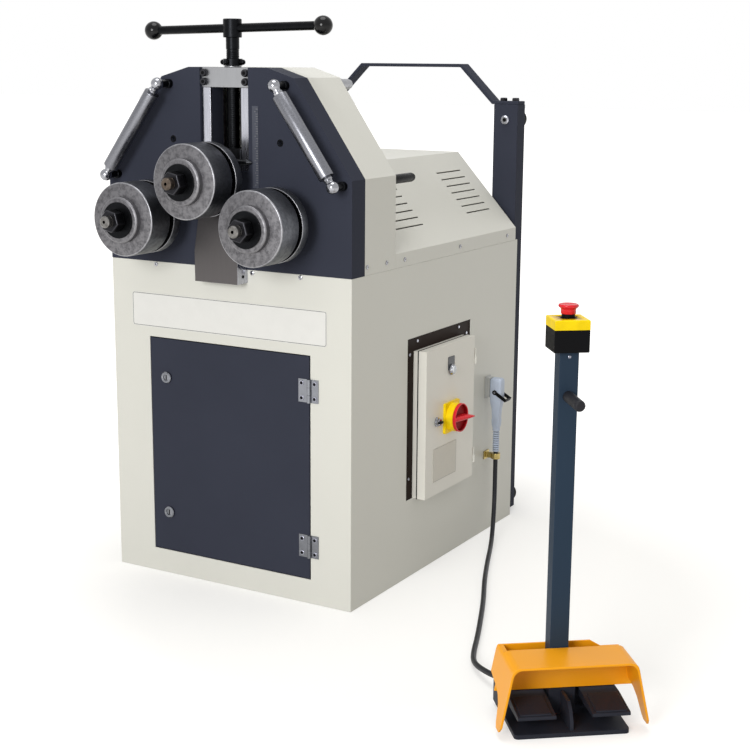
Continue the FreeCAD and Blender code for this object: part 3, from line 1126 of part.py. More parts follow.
    half = POST_SIZE / 2
    post = box((POST_X - half, POST_X + half), (POST_FRONT, POST_FRONT + POST_SIZE), (BLOCK_TOP, POST_HEIGHT))
    inside = half - POST_WALL
    post = post.cut(box((POST_X - inside, POST_X + inside), (POST_MIDDLE - inside, POST_MIDDLE + inside),
                        (BLOCK_TOP, POST_HEIGHT - POST_WALL)))
    tip_y = POST_FRONT - POST_GRIP_LENGTH
    grip = merge([rod(POST_GRIP_RADIUS, (POST_X, POST_FRONT, POST_GRIP_Z), (POST_X, tip_y + 4, POST_GRIP_Z)),
                  taper(POST_GRIP_RADIUS, POST_GRIP_RADIUS - 3, (POST_X, tip_y + 4, POST_GRIP_Z),
                        (POST_X, tip_y, POST_GRIP_Z))])
    save("pedal_column", post, grip)

    reach = STOP_BOX_SIZE / 2
    box_x = (POST_X - reach, POST_X + reach)
    box_y = (POST_MIDDLE - reach, POST_MIDDLE + reach)
    seam = POST_HEIGHT + STOP_BOX_LOWER
    box_top = seam + STOP_BOX_UPPER
    wall = STOP_BOX_WALL
    lower = box(box_x, box_y, (POST_HEIGHT, seam))
    lower = lower.cut(box((box_x[0] + wall, box_x[1] - wall), (box_y[0] + wall, box_y[1] - wall),
                          (POST_HEIGHT + wall, seam)))
    contacts = box((POST_X - 22, POST_X + 22), (POST_MIDDLE - 22, POST_MIDDLE + 22),
                   (POST_HEIGHT + wall, seam - 1))
    save("stop_box", lower, contacts)
    cover = box(box_x, box_y, (seam, box_top))
    cover = cover.makeChamfer(STOP_BOX_BEVEL, [e for e in cover.Edges if e.BoundBox.ZMin > box_top - 0.1])
    collar_top = box_top + STOP_COLLAR
    axis = (POST_X, POST_MIDDLE)
    bore = rod(STOP_STEM_RADIUS + SLIDE_GAP, (*axis, seam), (*axis, collar_top))
    collar = rod(STOP_COLLAR_RADIUS, (*axis, box_top), (*axis, collar_top))
    save("stop_box_cover", cover.cut(bore), collar.cut(bore))
    head_bottom = collar_top + STOP_STEM
    cap_bottom = head_bottom + STOP_HEAD
    cap_top = cap_bottom + STOP_CAP
    button = merge([
        rod(STOP_STEM_RADIUS, (*axis, seam + STOP_TRAVEL + 1), (*axis, head_bottom)),
        rod(STOP_HEAD_RADIUS, (*axis, head_bottom), (*axis, cap_bottom)),
        taper(STOP_HEAD_RADIUS, STOP_CAP_RADIUS, (*axis, cap_bottom), (*axis, cap_bottom + 4.5)),
        rod(STOP_CAP_RADIUS, (*axis, cap_bottom + 4.5), (*axis, cap_top - 2.5)),
        taper(STOP_CAP_RADIUS, STOP_CAP_RADIUS - 2, (*axis, cap_top - 2.5), (*axis, cap_top)),
    ])
    save("stop_button", button)
    gland = merge([hexagon(2 * GLAND_RADIUS, (GLAND_X, BLOCK_BACK, GLAND_Z),
                           (GLAND_X, BLOCK_BACK + 7, GLAND_Z)),
                   rod(CABLE_RADIUS + 2, (GLAND_X, BLOCK_BACK + 7, GLAND_Z), (GLAND_X, GLAND_END, GLAND_Z))])
    place = Placement(Vector(PEDESTAL_X, PEDESTAL_Y, 0), Rotation(Vector(0, 0, 1), PEDESTAL_TURN))
    for name in ("left_pedal", "right_pedal", "pedal_base", "pedal_hood", "pedal_column", "stop_box",
                 "stop_box_cover", "stop_button"):
        for solid in NODES[name]:
            solid.Placement = place.multiply(solid.Placement)
    gland.Placement = place.multiply(gland.Placement)
    print("gland end", place.multVec(Vector(GLAND_X, GLAND_END, GLAND_Z)))
    mains = (COLUMN_WIDTH / 2 + MAINS_INSET - COLUMN_MIDDLE, BACK, MAINS_Z)
    mains_gland = merge([hexagon(30, mains, (mains[0], BACK + 8, mains[2])),
                         taper(13, 9, (mains[0], BACK + 8, mains[2]), (mains[0], BACK + 26, mains[2]))])
    save("cable_glands", gland, mains_gland)


# ---- fasteners and plates ----
def fasteners(column_screws, strap_bolts):
    small = []
    z = CABINET_HEIGHT - 5
    outer_screw = HALF_WIDTH - PANEL_SCREW_INSET
    for x in (-outer_screw, -PANEL_SCREW_HALF, PANEL_SCREW_HALF, outer_screw):
        small.append(rod(4, (x, FRONT - 2, z), (x, FRONT, z)))
    cover_z = CABINET_HEIGHT + COVER_FLANGE / 2
    for side in (-1, 1):
        face = side * HALF_WIDTH
        for y in (COVER_FRONT + 41, (COVER_FRONT + COVER_BACK) / 2, COVER_BACK - 50):
            small.append(rod(4, (face, y, cover_z), (face + side * 2, y, cover_z)))
        for y in (PLATE_BACK + 9, HEAD_BACK - 37):
            small.append(rod(4.5, (face, y, cover_z + 2), (face + side * 2.5, y, cover_z + 2)))
    rivet_x = HALF_WIDTH - CABINET_SHEET
    edge_y = OPENING_Y - OPENING_WIDTH / 2 + 14
    far_y = OPENING_Y + OPENING_WIDTH / 2 - 18
    top_z = OPENING_TOP - 10
    for y, z in ((edge_y + 34, top_z), (far_y - 28, top_z), (edge_y, top_z - 26),
                 (edge_y, OPENING_BOTTOM + 48), (far_y, top_z - 20), (far_y, OPENING_BOTTOM + 48)):
        small.append(rod(3.5, (rivet_x, y, z), (rivet_x + 2, y, z)))
    save("panel_screws", *small)

    sockets = list(column_screws)
    for x in (-52, 52):
        for z in (BRIDGE_BOTTOM + 11.5, HEAD_TOP - 11.5):
            head = rod(8, (x, BRIDGE_FACE - 8, z), (x, BRIDGE_FACE, z))
            sockets.append(head.cut(hexagon(8, (x, BRIDGE_FACE - 8, z), (x, BRIDGE_FACE - 3, z))))
    save("bolts", *sockets, *strap_bolts)

    name_plate = box((-HALF_WIDTH + NAME_PLATE_MARGIN, HALF_WIDTH - NAME_PLATE_MARGIN - 4),
                     (FRONT - PLATE_SHEET, FRONT),
                     (CABINET_HEIGHT - NAME_PLATE_DROP - NAME_PLATE_HEIGHT, CABINET_HEIGHT - NAME_PLATE_DROP))
    scale_left = RECESS_HALF + SCALE_GAP
    scale_strip = box((scale_left, scale_left + SCALE_WIDTH), (FRONT - PLATE_SHEET, FRONT),
                      (UPPER_Z - SCALE_BELOW, UPPER_Z + SCALE_ABOVE))
    save("plates", name_plate, scale_strip)


cabinet()
door_hinge_parts = cabinet_door()
head()
drop_guard()
rolls()
carriage()
drive()
rear_cover()
column_screws, strap_bolts = columns()
electric_box(door_hinge_parts)
connector()
foot_control()
fasteners(column_screws, strap_bolts)
save("foot_cable", bent_tube(CABLE_ROUTE, CABLE_RADIUS))

os.makedirs("parts", exist_ok=True)
for name, solids in NODES.items():
    shape = solids[0] if len(solids) == 1 else Part.makeCompound(solids)
    shape.exportStep("parts/" + name + ".step")
print(len(NODES), "nodes")
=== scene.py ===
# %% [markdown]
# # Ring roller
# A motorised ring roller on a floor cabinet: three roll sets on a head, a hand screw over the upper roll, an
# electric box on the right side, a motor under the rear cover and a foot control on a cable. The packed
# solids are in metres and in place. This file adds rounded edges, turned faces, small fasteners and
# finishes.

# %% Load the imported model
import json
import math

import bmesh
import bpy
from mathutils import Euler, Matrix, Vector


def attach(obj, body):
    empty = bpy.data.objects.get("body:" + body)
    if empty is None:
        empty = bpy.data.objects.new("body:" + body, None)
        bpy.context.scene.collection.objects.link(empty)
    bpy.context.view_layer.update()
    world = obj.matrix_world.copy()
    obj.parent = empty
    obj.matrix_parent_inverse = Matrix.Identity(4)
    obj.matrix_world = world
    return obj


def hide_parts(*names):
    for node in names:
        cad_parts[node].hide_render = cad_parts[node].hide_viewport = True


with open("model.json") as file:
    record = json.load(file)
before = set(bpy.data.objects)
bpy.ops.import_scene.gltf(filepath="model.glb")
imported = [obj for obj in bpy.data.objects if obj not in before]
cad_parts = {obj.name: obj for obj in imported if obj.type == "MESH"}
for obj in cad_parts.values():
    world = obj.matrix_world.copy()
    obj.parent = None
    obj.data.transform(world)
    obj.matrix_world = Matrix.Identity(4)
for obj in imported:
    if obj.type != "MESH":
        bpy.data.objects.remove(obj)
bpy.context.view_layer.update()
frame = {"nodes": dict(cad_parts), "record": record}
nodes = frame["nodes"]
BODY_OF = {node: body for body, names in frame["record"]["behaviour"]["bodies"].items() for node in names}
MM = 0.001

# %% [markdown]
# ## Small helpers
# Colours are written as sRGB hex values, as on a paint chart, and turned to the linear values that a shader
# adds up. One function adds a node with its settings and links, so that a material reads as a short list.

# %% Colour, node and piece helpers
def linear(hex_code):
    """An sRGB hex colour as linear RGBA."""
    def channel(value):
        return value / 12.92 if value <= 0.04045 else ((value + 0.055) / 1.055) ** 2.4
    digits = hex_code.lstrip("#")
    return (*[channel(int(digits[i:i + 2], 16) / 255) for i in (0, 2, 4)], 1.0)


def feed(node, inputs):
    """Sets a node's inputs: values, sockets, nodes for their first output, or lists of these."""
    for name, value in inputs.items():
        for source in value if isinstance(value, list) else [value]:
            if isinstance(source, bpy.types.Node):
                source = source.outputs[0]
            if isinstance(source, bpy.types.NodeSocket):
                node.id_data.links.new(source, node.inputs[name])
            else:
                node.inputs[name].default_value = source
    return node


def add_node(tree, kind, inputs=None, **settings):
    """Adds one node with its settings and its inputs."""
    node = tree.nodes.new(kind)
    for name, value in settings.items():
        setattr(node, name, value)
    return feed(node, inputs or {})


def add_piece(name, data):
    piece = bpy.data.objects.new(name, data)
    bpy.context.scene.collection.objects.link(piece)
    return piece


def give(piece, slot, *replaced, body=None):
    """Hides the CAD nodes that a piece stands for and sets its body, theirs if none is named. slot is not
    used.
    """
    if replaced:
        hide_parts(*replaced)
    body = body or BODY_OF[replaced[0]]
    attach(piece, body)
    print(piece.name, "rides on", body)
    return piece

print("mid grey is", [round(value, 3) for value in linear("#808080")])

# %% [markdown]
# ## Camera
# The cabinet is seen from its front right corner at chest height with a long lens, so its verticals stay
# nearly upright. Place and turn are plain numbers, because they are the view and not part of the object.

# %% Camera
VIEW_FROM, VIEW_TURN = (1.8135, -2.9170, 1.1479), (77.8197, -0.4008, 29.9965)
camera_data = bpy.data.cameras.new("camera")
camera_data.sensor_width = 36.0
camera_data.lens = 70.41
camera = add_piece("camera", camera_data)
camera.location = VIEW_FROM
camera.rotation_euler = Euler([math.radians(angle) for angle in VIEW_TURN], "XYZ")
bpy.context.scene.camera = camera
print("camera", VIEW_FROM, "lens", camera_data.lens)

# %% [markdown]
# ## Foot cable
# The foot control hangs on a round black cable, 11 mm thick and about 1.14 m long. It leaves the plug
# straight down, bends onto the floor and runs to the gland behind the foot control. A NURBS spline makes one
# smooth line of it, where straight runs with rounded corners would look like wire.

# %% Foot cable
CABLE_RADIUS = 5.5 * MM
CABLE_POINTS = (
    (0.337, 0.246, 0.208), (0.337, 0.246, 0.146), (0.3395, 0.2405, 0.076), (0.357, 0.196, 0.016),
    (0.386, 0.126, 0.0056), (0.421, 0.037, 0.0056), (0.473, -0.088, 0.0056), (0.526, -0.202, 0.0056),
    (0.571, -0.309, 0.0056), (0.608, -0.400, 0.0056), (0.634, -0.470, 0.006), (0.664, -0.531, 0.012),
    (0.714, -0.577, 0.022), (0.75235, -0.59988, 0.028), (0.77082, -0.62352, 0.028),
)
cable_curve = bpy.data.curves.new("foot_control_cable", "CURVE")
cable_curve.dimensions = "3D"
cable_curve.bevel_depth = 1.0
cable_curve.bevel_resolution = 5
cable_curve.resolution_u = 8
cable_spline = cable_curve.splines.new("NURBS")
cable_spline.points.add(len(CABLE_POINTS) - 1)
for point, place in zip(cable_spline.points, CABLE_POINTS):
    point.co = (*place, 1.0)
    point.radius = CABLE_RADIUS
cable_spline.order_u = 3
cable_spline.use_endpoint_u = True
cable = add_piece("foot_control_cable", cable_curve)
give(cable, "cable_jacket", "foot_cable")

# %% [markdown]
# ## One recipe for most finishes
# Most surfaces differ in two ways: a fine grain that the light feels as bumps, and a coarser cloud that
# makes the tone and the gloss uneven. Both are noise in the piece's own space, so paint, metal and plastic
# are one function with other numbers.

# %% The recipe
BUMP_HEIGHT = 0.001


def new_finish(name, hex_code, roughness, metallic=0.0, shine=0.5):
    """A material with its plain values set on the shader's own sockets."""
    material = bpy.data.materials.new(name)
    material.use_nodes = True
    shader = feed(material.node_tree.nodes["Principled BSDF"], {
        "Base Color": linear(hex_code), "Roughness": roughness, "Metallic": metallic,
        "Specular IOR Level": shine})
    return material, shader


def noise(tree, waves, detail):
    """Noise with so many waves to a metre, on all the piece's axes or on each."""
    place = add_node(tree, "ShaderNodeTexCoord")
    waves = waves if isinstance(waves, tuple) else (waves,) * 3
    squeezed = add_node(tree, "ShaderNodeMapping", {"Vector": place.outputs["Object"], "Scale": waves})
    return add_node(tree, "ShaderNodeTexNoise", {"Vector": squeezed, "Scale": 1.0, "Detail": detail})


def roughen(shader, height, strength, cloud, low, high):
    """Bumps from one noise, and a roughness between low and high from another."""
    tree = shader.id_data
    bump = add_node(tree, "ShaderNodeBump", {"Height": height, "Strength": strength, "Distance": BUMP_HEIGHT})
    gloss = add_node(tree, "ShaderNodeMapRange", {
        "Value": cloud, "From Min": 0.3, "From Max": 0.7, "To Min": low, "To Max": high})
    feed(shader, {"Normal": bump, "Roughness": gloss})


def textured(name, hex_code, roughness, fine, coarse, bump, spread, mark, stops, **base):
    """A finish with a grain of bumps and a cloud. mark is how much darker its dark places are."""
    material, shader = new_finish(name, hex_code, roughness, **base)
    tree = shader.id_data
    grain = noise(tree, *fine)
    cloud = noise(tree, *coarse) if coarse else grain
    roughen(shader, grain, bump, cloud, roughness - spread, roughness + spread)
    tone = add_node(tree, "ShaderNodeValToRGB", {"Fac": cloud})
    dark = [value * (1 - mark) for value in linear(hex_code)[:3]] + [1.0]
    for stop, position, colour in zip(tone.color_ramp.elements, stops, (dark, linear(hex_code))):
        stop.position, stop.color = position, colour
    feed(shader, {"Base Color": tone})
    return material

print("bumps up to", BUMP_HEIGHT, "m")

# %% [markdown]
# ## Painted sheet metal
# The cabinet, the head's housing and the rear cover have a cream powder coat: dry powder that melts in an
# oven into a satin film with a faint orange peel. The real peel is about 1 mm across. It is drawn at 7 mm,
# because finer doesn't show from here. The dark plates and the columns have the same coat in anthracite.

# %% Powder coats
def powder_coat(name, hex_code, roughness, shade=0.03, shine=0.4):
    return textured(name, hex_code, roughness, (140.0, 1.5), (5.0, 4.0), bump=0.035, spread=0.05, mark=shade,
                    stops=(0.3, 0.7), shine=shine)

cream = powder_coat("cream_powder_coat", "#DADAD3", 0.42)
box_cream = powder_coat("pale_cream_powder_coat", "#E4E2DA", 0.36)
anthracite = powder_coat("anthracite_powder_coat", "#3A3D49", 0.5, shade=0.08, shine=0.02)
blue_grey = powder_coat("blue_grey_powder_coat", "#2B3A4B", 0.45, shade=0.08, shine=0.08)
orange = powder_coat("orange_enamel", "#F8A714", 0.36, shade=0.06, shine=0.25)
box_black = powder_coat("black_brown_enamel", "#231813", 0.45, shade=0.1, shine=0.05)
iron_paint = powder_coat("grey_machine_enamel", "#54585C", 0.5, shade=0.1, shine=0.3)
print("seven coats")

# %% [markdown]
# ## Bare metals
# A metal's colour is its reflection, and its roughness says how far the reflection is smeared. Ground and
# brushed steel have fine scratches one way, drawn by noise that is squeezed across them, here about 2 mm
# apart, because the real 0.1 mm doesn't show.

# %% Brushed and polished metals
def metal(name, hex_code, roughness, grain=(400.0, 400.0, 25.0), spread=0.1, depth=0.06, mark=0.14):
    return textured(name, hex_code, roughness, (grain, 3.0), None, bump=depth, spread=spread / 2, mark=mark,
                    stops=(0.35, 0.65), metallic=1.0)

ground_steel = metal("ground_steel", "#9FA0A3", 0.36, spread=0.04, depth=0.02, mark=0.05)
# Bright ground strip for the rails, rivets and column screws, and a painted reflection on the guard's flange
# and edges.
strip_steel_and_painted_reflection = metal("ground_steel_strip_and_painted_reflection", "#BCBDC6", 0.26)
dark_steel = metal("dark_ground_steel", "#3A3B3E", 0.4, spread=0.06, depth=0.02)
brushed_sheet = metal("brushed_stainless_sheet", "#5B5858", 0.42, (400.0, 400.0, 14.0), 0.03, 0.006, 0.05)
satin_tube = metal("satin_steel_tube", "#7E7F85", 0.3, 400.0, spread=0.08, depth=0.02, mark=0.16)
chrome = metal("chrome_plate", "#9C9DA2", 0.1, 60.0, spread=0.04, depth=0.0)
dark_chrome = metal("chrome_plated_hinge", "#808288", 0.2, 60.0, spread=0.12, depth=0.02)
black_oxide = metal("black_oxide_steel", "#1A1B1D", 0.36, 150.0, spread=0.12)
worn_oxide = metal("worn_black_oxide", "#2B2B2E", 0.34, 150.0, spread=0.12)
edge_oxide = metal("worn_black_oxide_edge", "#3C3C40", 0.34, 150.0, spread=0.12)
zinc = metal("zinc_plated_steel", "#A3A4B0", 0.26, 150.0, spread=0.12)
bronze = metal("bearing_bronze", "#8A6B3C", 0.32, (200.0, 30.0, 200.0))
brass = metal("bare_brass", "#B3A168", 0.28, 120.0)
gear_steel = metal("hobbed_gear_steel", "#7C7D80", 0.33, (200.0, 30.0, 200.0))
print("fourteen metals")

# %% [markdown]
# ## Plastics and rubber
# Moulded plastic has a slight texture from the tool's spark-eroded surface, about 1 mm across and drawn at 3
# mm. Rubber and the cable's jacket are the same with a duller surface.

# %% Plastics and rubber
def moulded(name, hex_code, roughness, texture=0.05, shine=0.4, mark=0.12):
    return textured(name, hex_code, roughness, (330.0, 2.0), (35.0, 5.0), bump=texture, spread=0.06,
                    mark=mark, stops=(0.35, 0.6), shine=shine)

yellow_plastic = moulded("yellow_abs", "#FFDC10", 0.34, shine=0.15)
red_plastic = moulded("red_abs", "#DA2630", 0.28, shine=0.25)
# A darker red for the floor of the switch's cup: painted shade in the recess.
cup_floor_shade = moulded("red_abs_painted_shade", "#8E0C14", 0.5, shine=0.06)
black_plastic = moulded("black_nylon", "#0E0E10", 0.42, texture=0.1, shine=0.06)
pedal_plastic = moulded("black_glass_filled_nylon", "#2A2C35", 0.5, texture=0.1, shine=0.1)
grey_plastic = moulded("grey_blue_nylon", "#BFCADD", 0.42, shine=0.3)
dark_grey_plastic = moulded("dark_grey_nylon", "#7E8795", 0.45, shine=0.3)
socket_plastic = moulded("pale_grey_socket_plastic", "#BCBEBD", 0.42, shine=0.3)
vinyl = moulded("black_vinyl_grip", "#060607", 0.3, texture=0.0, shine=0.05)
black_gloss = moulded("black_phenolic_ball", "#08080A", 0.14, texture=0.0, shine=0.25)
rubber = moulded("black_rubber", "#121212", 0.65, texture=0.12, shine=0.15)
post_grip = moulded("grey_black_grip", "#1F1F24", 0.5, texture=0.1, shine=0.2)
jacket = moulded("cable_jacket_rubber", "#1C1D22", 0.45, texture=0.1, shine=0.25)
label_white = moulded("white_printed_sheet", "#E2E2DF", 0.4, texture=0.0, mark=0.02)
label_dark = moulded("dark_printed_sheet", "#20242E", 0.3, texture=0.0, mark=0.05)
label_cream = moulded("cream_printed_sheet", "#CCC8BD", 0.35, texture=0.0, mark=0.03)
label_grey = moulded("grey_print", "#8E8F90", 0.4, texture=0.0, mark=0.03)
strip_grey = moulded("dark_scale_sheet", "#4C4F5A", 0.4, texture=0.0, shine=0.2, mark=0.05)
lens = moulded("milky_lamp_lens", "#D0D5DA", 0.12, texture=0.0, mark=0.05)
cable.data.materials.append(jacket)
print("nineteen plastics, rubbers and prints")

# %% [markdown]
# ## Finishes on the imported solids
# Solids whose shape is right keep their mesh and get a finish: the pieces inside the cabinet, the head and
# the rear cover, and a few small ones outside.

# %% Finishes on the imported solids
PLAIN_FINISHES = {
    "cabinet_frame": box_black, "rear_bearing_plate": ground_steel, "lower_bearings": bronze,
    "left_roll_gear": gear_steel, "right_roll_gear": gear_steel, "drive_pinion": gear_steel,
    "gearmotor": iron_paint, "enclosure_body": box_cream, "control_gear": grey_plastic,
    "upper_carriage": dark_steel, "upper_door_lock": chrome, "lower_door_lock": chrome,
}
for node_name, finish in PLAIN_FINISHES.items():
    for material_slot in nodes[node_name].material_slots:
        material_slot.material = finish
print(len(PLAIN_FINISHES), "solids finished")

# %% [markdown]
# ## Rounded edges
# Folded sheet has soft corners, and cut plate has its edges broken with a file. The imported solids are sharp,
# so a copy of each is merged, its flat faces are joined up, and a Bevel modifier rounds every edge that
# turns by more than 22 degrees. Weighted normals keep the flat faces flat to the light.

# %% Rounded copies
FOLD_LIMIT, FLAT_LIMIT, MERGE_REACH = math.radians(22), math.radians(1.0), 0.00003


def evaluated_mesh(piece):
    """The piece's mesh after its modifiers."""
    return bpy.data.meshes.new_from_object(piece.evaluated_get(bpy.context.evaluated_depsgraph_get()))


def soften(work, width_mm, segments=2, finish=None):
    """Rounds a piece's edges for good, and gives it its finish."""
    work.data.shade_smooth()
    bevel = work.modifiers.new("edges", "BEVEL")
    bevel.width = width_mm * MM
    bevel.segments = segments
    bevel.limit_method = "ANGLE"
    bevel.angle_limit = FOLD_LIMIT
    work.modifiers.new("normals", "WEIGHTED_NORMAL").keep_sharp = True
    ready = evaluated_mesh(work)
    work.modifiers.clear()
    work.data = ready
    ready.name = work.name
    if finish:
        paint(work, [finish])


def paint(piece, materials, rule=None):
    """Gives a piece its materials. rule picks a face's by its middle, in mm, and its normal."""
    mesh = piece.data
    mesh.materials.clear()
    for material in materials:
        mesh.materials.append(material)
    for face in mesh.polygons:
        face.material_index = rule(face.center / MM, face.normal) if rule else 0


def rounded(node_name, piece_name, width_mm, materials, slot, segments=2, rule=None, only=None):
    """A copy of a CAD node, or of the faces that only() picks by their middle, with rounded edges."""
    mesh = nodes[node_name].data.copy()
    shape = bmesh.new()
    shape.from_mesh(mesh)
    if only:
        out = [face for face in shape.faces if not only(face.calc_center_median() / MM)]
        bmesh.ops.delete(shape, geom=out, context="FACES")
    bmesh.ops.remove_doubles(shape, verts=shape.verts, dist=MERGE_REACH)
    bmesh.ops.dissolve_limit(shape, angle_limit=FLAT_LIMIT, verts=shape.verts, edges=shape.edges)
    shape.to_mesh(mesh)
    shape.free()
    piece = add_piece(piece_name, mesh)
    soften(piece, width_mm, segments)
    paint(piece, materials, rule)
    return give(piece, slot, node_name)


for node_name, piece_name, width, finish, slot_name, *segments in (
    ("cabinet_shell", "cabinet_shell_sheet", 1.2, cream, "cream_paint"),
    ("head_housing", "head_housing_sheet", 1.2, cream, "cream_paint"),
    ("rear_cover", "rear_cover_sheet", 0.8, cream, "cream_paint"),
    ("front_plate", "front_plate_machined", 1.5, anthracite, "dark_paint"),
    ("enclosure_frame", "electric_box_frame", 1.0, box_black, "black_steel"),
    ("rear_columns", "rear_column_tubes", 2.5, anthracite, "dark_paint", 3),
    ("strap_handle", "strap_handle_bar", 1.5, anthracite, "dark_paint"),
    ("bridge_plate", "bridge_plate_ground", 1.0, ground_steel, "bright_steel"),
    ("guide_rails", "guide_rail_strips", 0.8, strip_steel_and_painted_reflection, "bright_steel"),
    ("pedal_hood", "pedal_hood_casting", 1.6, orange, "orange_paint", 3),
    ("stop_box", "stop_box_housing", 2.0, black_plastic, "black_plastic", 3),
    ("pedal_base", "pedal_base_casting", 1.5, pedal_plastic, "black_plastic"),
    ("rubber_feet", "rubber_buffers", 1.5, rubber, "rubber"),
    ("lock_nut", "lock_nut_lugs", 1.0, black_oxide, "black_steel"),
    ("cable_glands", "cable_gland_nuts", 0.8, black_plastic, "black_plastic"),
):
    rounded(node_name, piece_name, width, [finish], slot_name, *segments)
# The guard is one brushed sheet. Its flange and edges get the bright strip steel: a painted reflection.
rounded("drop_guard", "drop_guard_sheet", 0.8, [brushed_sheet, strip_steel_and_painted_reflection], "bright_steel",
        rule=lambda middle, normal: abs(normal.y) < 0.8)

# %% [markdown]
# ## Shapes from points
# Small moulded shapes are skins over rows of points: each row is a closed loop, and neighbouring loops are
# joined by four-sided faces. Labels, the switch's handle, the plug, the nuts and the pedals' pads are made
# so.

# %% Skins, blocks and soft squares
def piece_of(shape, name):
    """A bmesh as a new piece."""
    mesh = bpy.data.meshes.new(name)
    shape.to_mesh(mesh)
    shape.free()
    return add_piece(name, mesh)


def loft(name, rows, close=False):
    """A skin over loops of points in mm. Its ends have caps, or its last loop joins its first."""
    shape = bmesh.new()
    loops = [[shape.verts.new(Vector(point) * MM) for point in row] for row in rows]
    for first, second in zip(loops, loops[1:] + (loops[:1] if close else [])):
        for i in range(len(first)):
            after = (i + 1) % len(first)
            shape.faces.new((first[i], first[after], second[after], second[i]))
    if not close:
        shape.faces.new(loops[0][::-1])
        shape.faces.new(loops[-1])
    bmesh.ops.recalc_face_normals(shape, faces=shape.faces)
    return piece_of(shape, name)


def block(name, middle, size):
    """A plain block, in mm."""
    shape = bmesh.new()
    bmesh.ops.create_cube(shape, size=1.0, matrix=Matrix.Translation(Vector(middle) * MM)
                          @ Matrix.Diagonal((*[side * MM for side in size], 1.0)))
    return piece_of(shape, name)


def soft_square(half_x, half_y, corner, steps=5):
    """Points round a square with round corners, in its own plane, in mm."""
    points = []
    for sx, sy, start in ((1, 1, 0), (-1, 1, 90), (-1, -1, 180), (1, -1, 270)):
        for step in range(steps + 1):
            angle = math.radians(start + 90 * step / steps)
            points.append((sx * (half_x - corner) + corner * math.cos(angle),
                           sy * (half_y - corner) + corner * math.sin(angle)))
    return points

print("a soft square has", len(soft_square(10, 10, 2)), "points")

# %% [markdown]
# ## Doors
# The cabinet's door is a dark tray with two bright hinges, whose leaves are part of its solid, so their faces
# are picked by place. The electric box's door is a cream tray that stands off a thin rubber gasket.

# %% Doors and hinges
HINGE_Z, HINGE_HALF = (129, 469), 25
FRONT_Y, BACK_Y = -400.0, 400.0


def on_cabinet_hinge(middle, normal):
    in_height = any(abs(middle.z - z) < HINGE_HALF for z in HINGE_Z)
    return middle.x > 180 and middle.y < FRONT_Y + 0.1 and in_height

rounded("cabinet_door", "cabinet_door_tray", 0.9, [anthracite, dark_chrome], "dark_paint",
        rule=on_cabinet_hinge)
rounded("electric_door", "electric_door_tray", 1.6, [box_cream], "cream_paint", 3,
        only=lambda middle: middle.x < 340.05)
rounded("hinge_brackets", "hinge_leaves", 0.4, [dark_chrome, cream], "bright_steel",
        rule=lambda middle, normal: middle.x > 250)

GASKET_X, GASKET_Y, GASKET_Z, GASKET_WIDTH = (317.6, 319.95), (-128.6, 110.6), (180.4, 519.6), 7.0


def gasket_loop(x, inset):
    """The four corners of the gasket, so far in from its outer edge."""
    (y0, y1), (z0, z1) = [(low + inset, high - inset) for low, high in (GASKET_Y, GASKET_Z)]
    return [(x, y, z) for y, z in ((y0, z0), (y1, z0), (y1, z1), (y0, z1))]

back_x, front_x = GASKET_X
gasket = loft("electric_door_gasket", [gasket_loop(x, inset) for x, inset in (
    (back_x, 0.0), (front_x, 0.0), (front_x, GASKET_WIDTH), (back_x, GASKET_WIDTH))], close=True)
paint(gasket, [rubber])
give(gasket, "rubber", body="electric_door")

# %% [markdown]
# ## Turned pieces
# Rolls, collars, balls, tubes and buttons come off a lathe: one profile, turned about one axis. In the tree
# the profile is a line of points in the piece's own mesh, a circle carries it round, and the result is moved
# onto its axis. Each point's distance from the axis is stored, for the turning marks of the machined finish.

# %% Helpers for trees
def new_tree(name, **sockets):
    """A Geometry Nodes tree with geometry in and out and named inputs, and what it is given."""
    tree = bpy.data.node_groups.new(name, "GeometryNodeTree")
    tree.interface.new_socket("Geometry", in_out="INPUT", socket_type="NodeSocketGeometry")
    for socket_name, kind in sockets.items():
        tree.interface.new_socket(socket_name, in_out="INPUT", socket_type="NodeSocket" + kind)
    tree.interface.new_socket("Geometry", in_out="OUTPUT", socket_type="NodeSocketGeometry")
    return tree, tree.nodes.new("NodeGroupInput").outputs


def end_tree(tree, shape, finish=None):
    """Ends a tree: copies become real, get their finish and go out."""
    shape = add_node(tree, "GeometryNodeRealizeInstances", {"Geometry": shape})
    if finish:
        shape = add_node(tree, "GeometryNodeSetMaterial", {"Geometry": shape, "Material": finish})
    add_node(tree, "NodeGroupOutput", {"Geometry": shape})
    print("tree", tree.name, "has", len(tree.nodes), "nodes")


def taken(piece):
    """The mesh of a piece that has served its turn."""
    mesh = piece.data
    bpy.data.objects.remove(piece)
    return mesh


def run_tree(tree, piece_name, mesh, **values):
    """A piece with what a tree makes of a mesh, the tree's inputs set by name."""
    piece = add_piece(piece_name, mesh)
    modifier = piece.modifiers.new("making", "NODES")
    modifier.node_group = tree
    for item in tree.interface.items_tree:
        if item.in_out == "INPUT" and item.name in values:
            modifier[item.identifier] = values[item.name]
    result = evaluated_mesh(piece)
    piece.modifiers.remove(modifier)
    piece.data = result
    result.name = piece_name
    return piece

